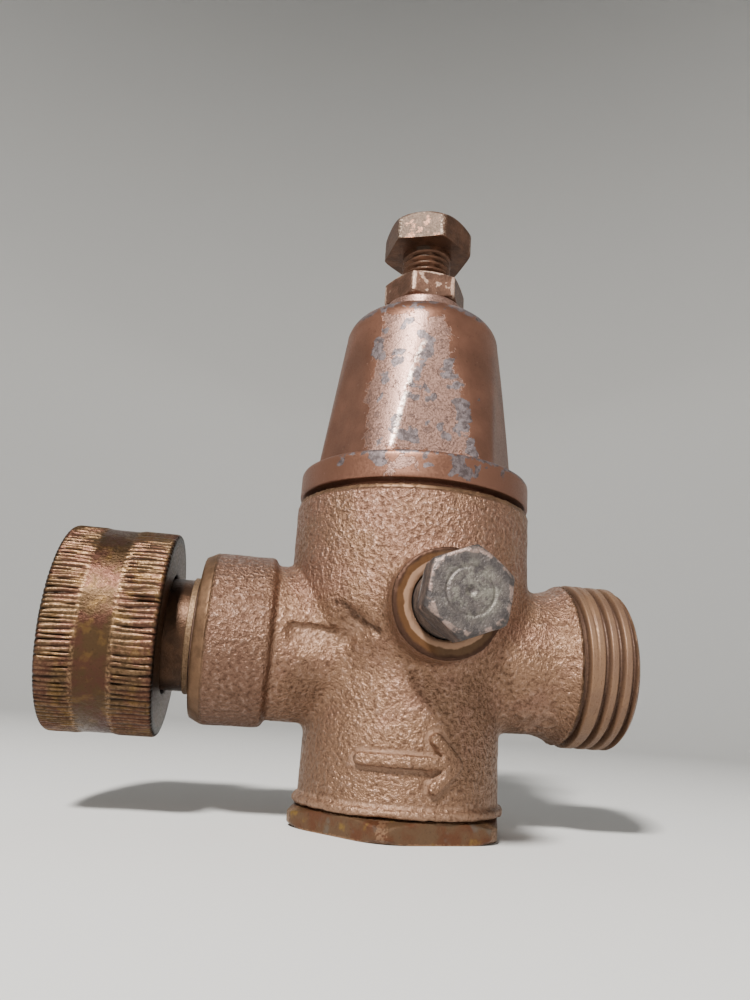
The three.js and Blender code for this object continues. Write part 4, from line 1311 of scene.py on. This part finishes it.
def make_diaphragm():
    """A dished rubber sheet that stays with the body."""
    low, high = heights("diaphragm")
    thick = 1.05
    profile = [
        (STEM_HOLE_R, high - thick), (10.2, high - thick, 1), (13.9, low, 1), (17.3, low, 0.2),
        (17.3, low + thick, 0.2), (14.7, low + thick, 1), (11, high, 1), (STEM_HOLE_R, high),
    ]
    return make_inner_ring("diaphragm", profile, RUBBER, ROOT)


def make_strainer():
    """The wire-thin screen stays as its CAD node, in its own metal."""
    material, slot = SCREEN_STEEL
    node = bpy.data.objects["strainer"]
    node.data.materials.clear()
    node.data.materials.append(material)


# ---- Camera, stage and light ----


def make_camera():
    """The photograph's own standpoint."""
    right = Vector((0.98718, -0.14439, 0.06797))
    up = Vector((-0.10349, -0.25499, 0.96139))
    back = Vector((-0.12149, -0.9561, -0.26667))
    data = bpy.data.cameras.new("camera")
    data.lens = 27.19
    data.clip_start = 0.005
    data.clip_end = 20
    camera = link("camera", data)
    turn = Matrix((right, up, back)).transposed().to_4x4()
    camera.matrix_world = Matrix.Translation((-0.02279, -0.12599, 0.01759)) @ turn
    bpy.context.scene.camera = camera


def make_stage():
    """A pale floor that curves up into a round wall."""
    material = bpy.data.materials.new("stage")
    material.use_nodes = True
    bsdf = material.node_tree.nodes["Principled BSDF"]
    bsdf.inputs["Base Color"].default_value = (0.62, 0.62, 0.61, 1)
    bsdf.inputs["Roughness"].default_value = 0.9
    floor, wall, top = 500, 900, 1600
    bend = [
        (floor + (wall - floor) * math.sin(a), (wall - floor) * (1 - math.cos(a)))
        for a in np.radians(np.arange(0, 91, 6))
    ]
    rows = np.array([(60, 0), (200, 0), *bend, (wall, top)])
    sides = 96
    theta = np.arange(sides) * TURN / sides
    rings = along_z(rows[:, :1], rows[:, 1:] + 0 * theta, theta[None])
    points = np.concatenate([rings.reshape(-1, 3), [[0, 0, 0]]])
    faces = ring_faces(len(rows), sides, False)
    faces += [(len(points) - 1, (j + 1) % sides, j) for j in range(sides)]
    obj = new_object("stage_floor", points, faces, 180)
    obj.data.materials.append(material)


def make_light(name, place, target, size, power, color=(1, 1, 1)):
    """A square soft light that the camera doesn't see."""
    data = bpy.data.lights.new(name, "AREA")
    data.size = size
    data.energy = power
    data.color = color
    obj = link(name, data)
    obj.location = place
    obj.rotation_mode = "QUATERNION"
    obj.rotation_quaternion = (Vector(target) - Vector(place)).to_track_quat("-Z", "Y")
    obj.visible_camera = False


def make_lights():
    middle = Vector((0, 0, 0.045))
    make_light("key", middle + Vector((-0.32, -0.68, 0.66)) * 0.62, middle, 0.08, 10.5, (1, 0.97, 0.93))
    make_light("fill", (0.45, -0.45, 0.35), middle, 0.5, 0.3)
    make_light("back", (0.1, 0.6, 0.7), middle, 0.5, 0.8)
    world = bpy.data.worlds.new("sky")
    world.use_nodes = True
    world.node_tree.nodes["Background"].inputs["Color"].default_value = (0.85, 0.88, 0.95, 1)
    world.node_tree.nodes["Background"].inputs["Strength"].default_value = 0.06
    bpy.context.scene.world = world


# ---- Everything together ----

make_camera()
make_stage()
make_lights()

make_body()
make_outlet_thread()
make_bonnet()
make_adjusting_screw()
make_lock_nut()
make_gauge_plug()
make_bottom_cap()
make_tailpiece()
make_swivel_nut()
make_inner_parts()
make_strainer()

main_spring = make_spring("main_spring", "adjusting_spring", 8.2, 2.6, 6.5)
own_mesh(main_spring)
disc_spring = make_spring("disc_spring", "closing_spring", 4.45, 1, 5.5)
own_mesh(disc_spring)
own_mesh(make_diaphragm())
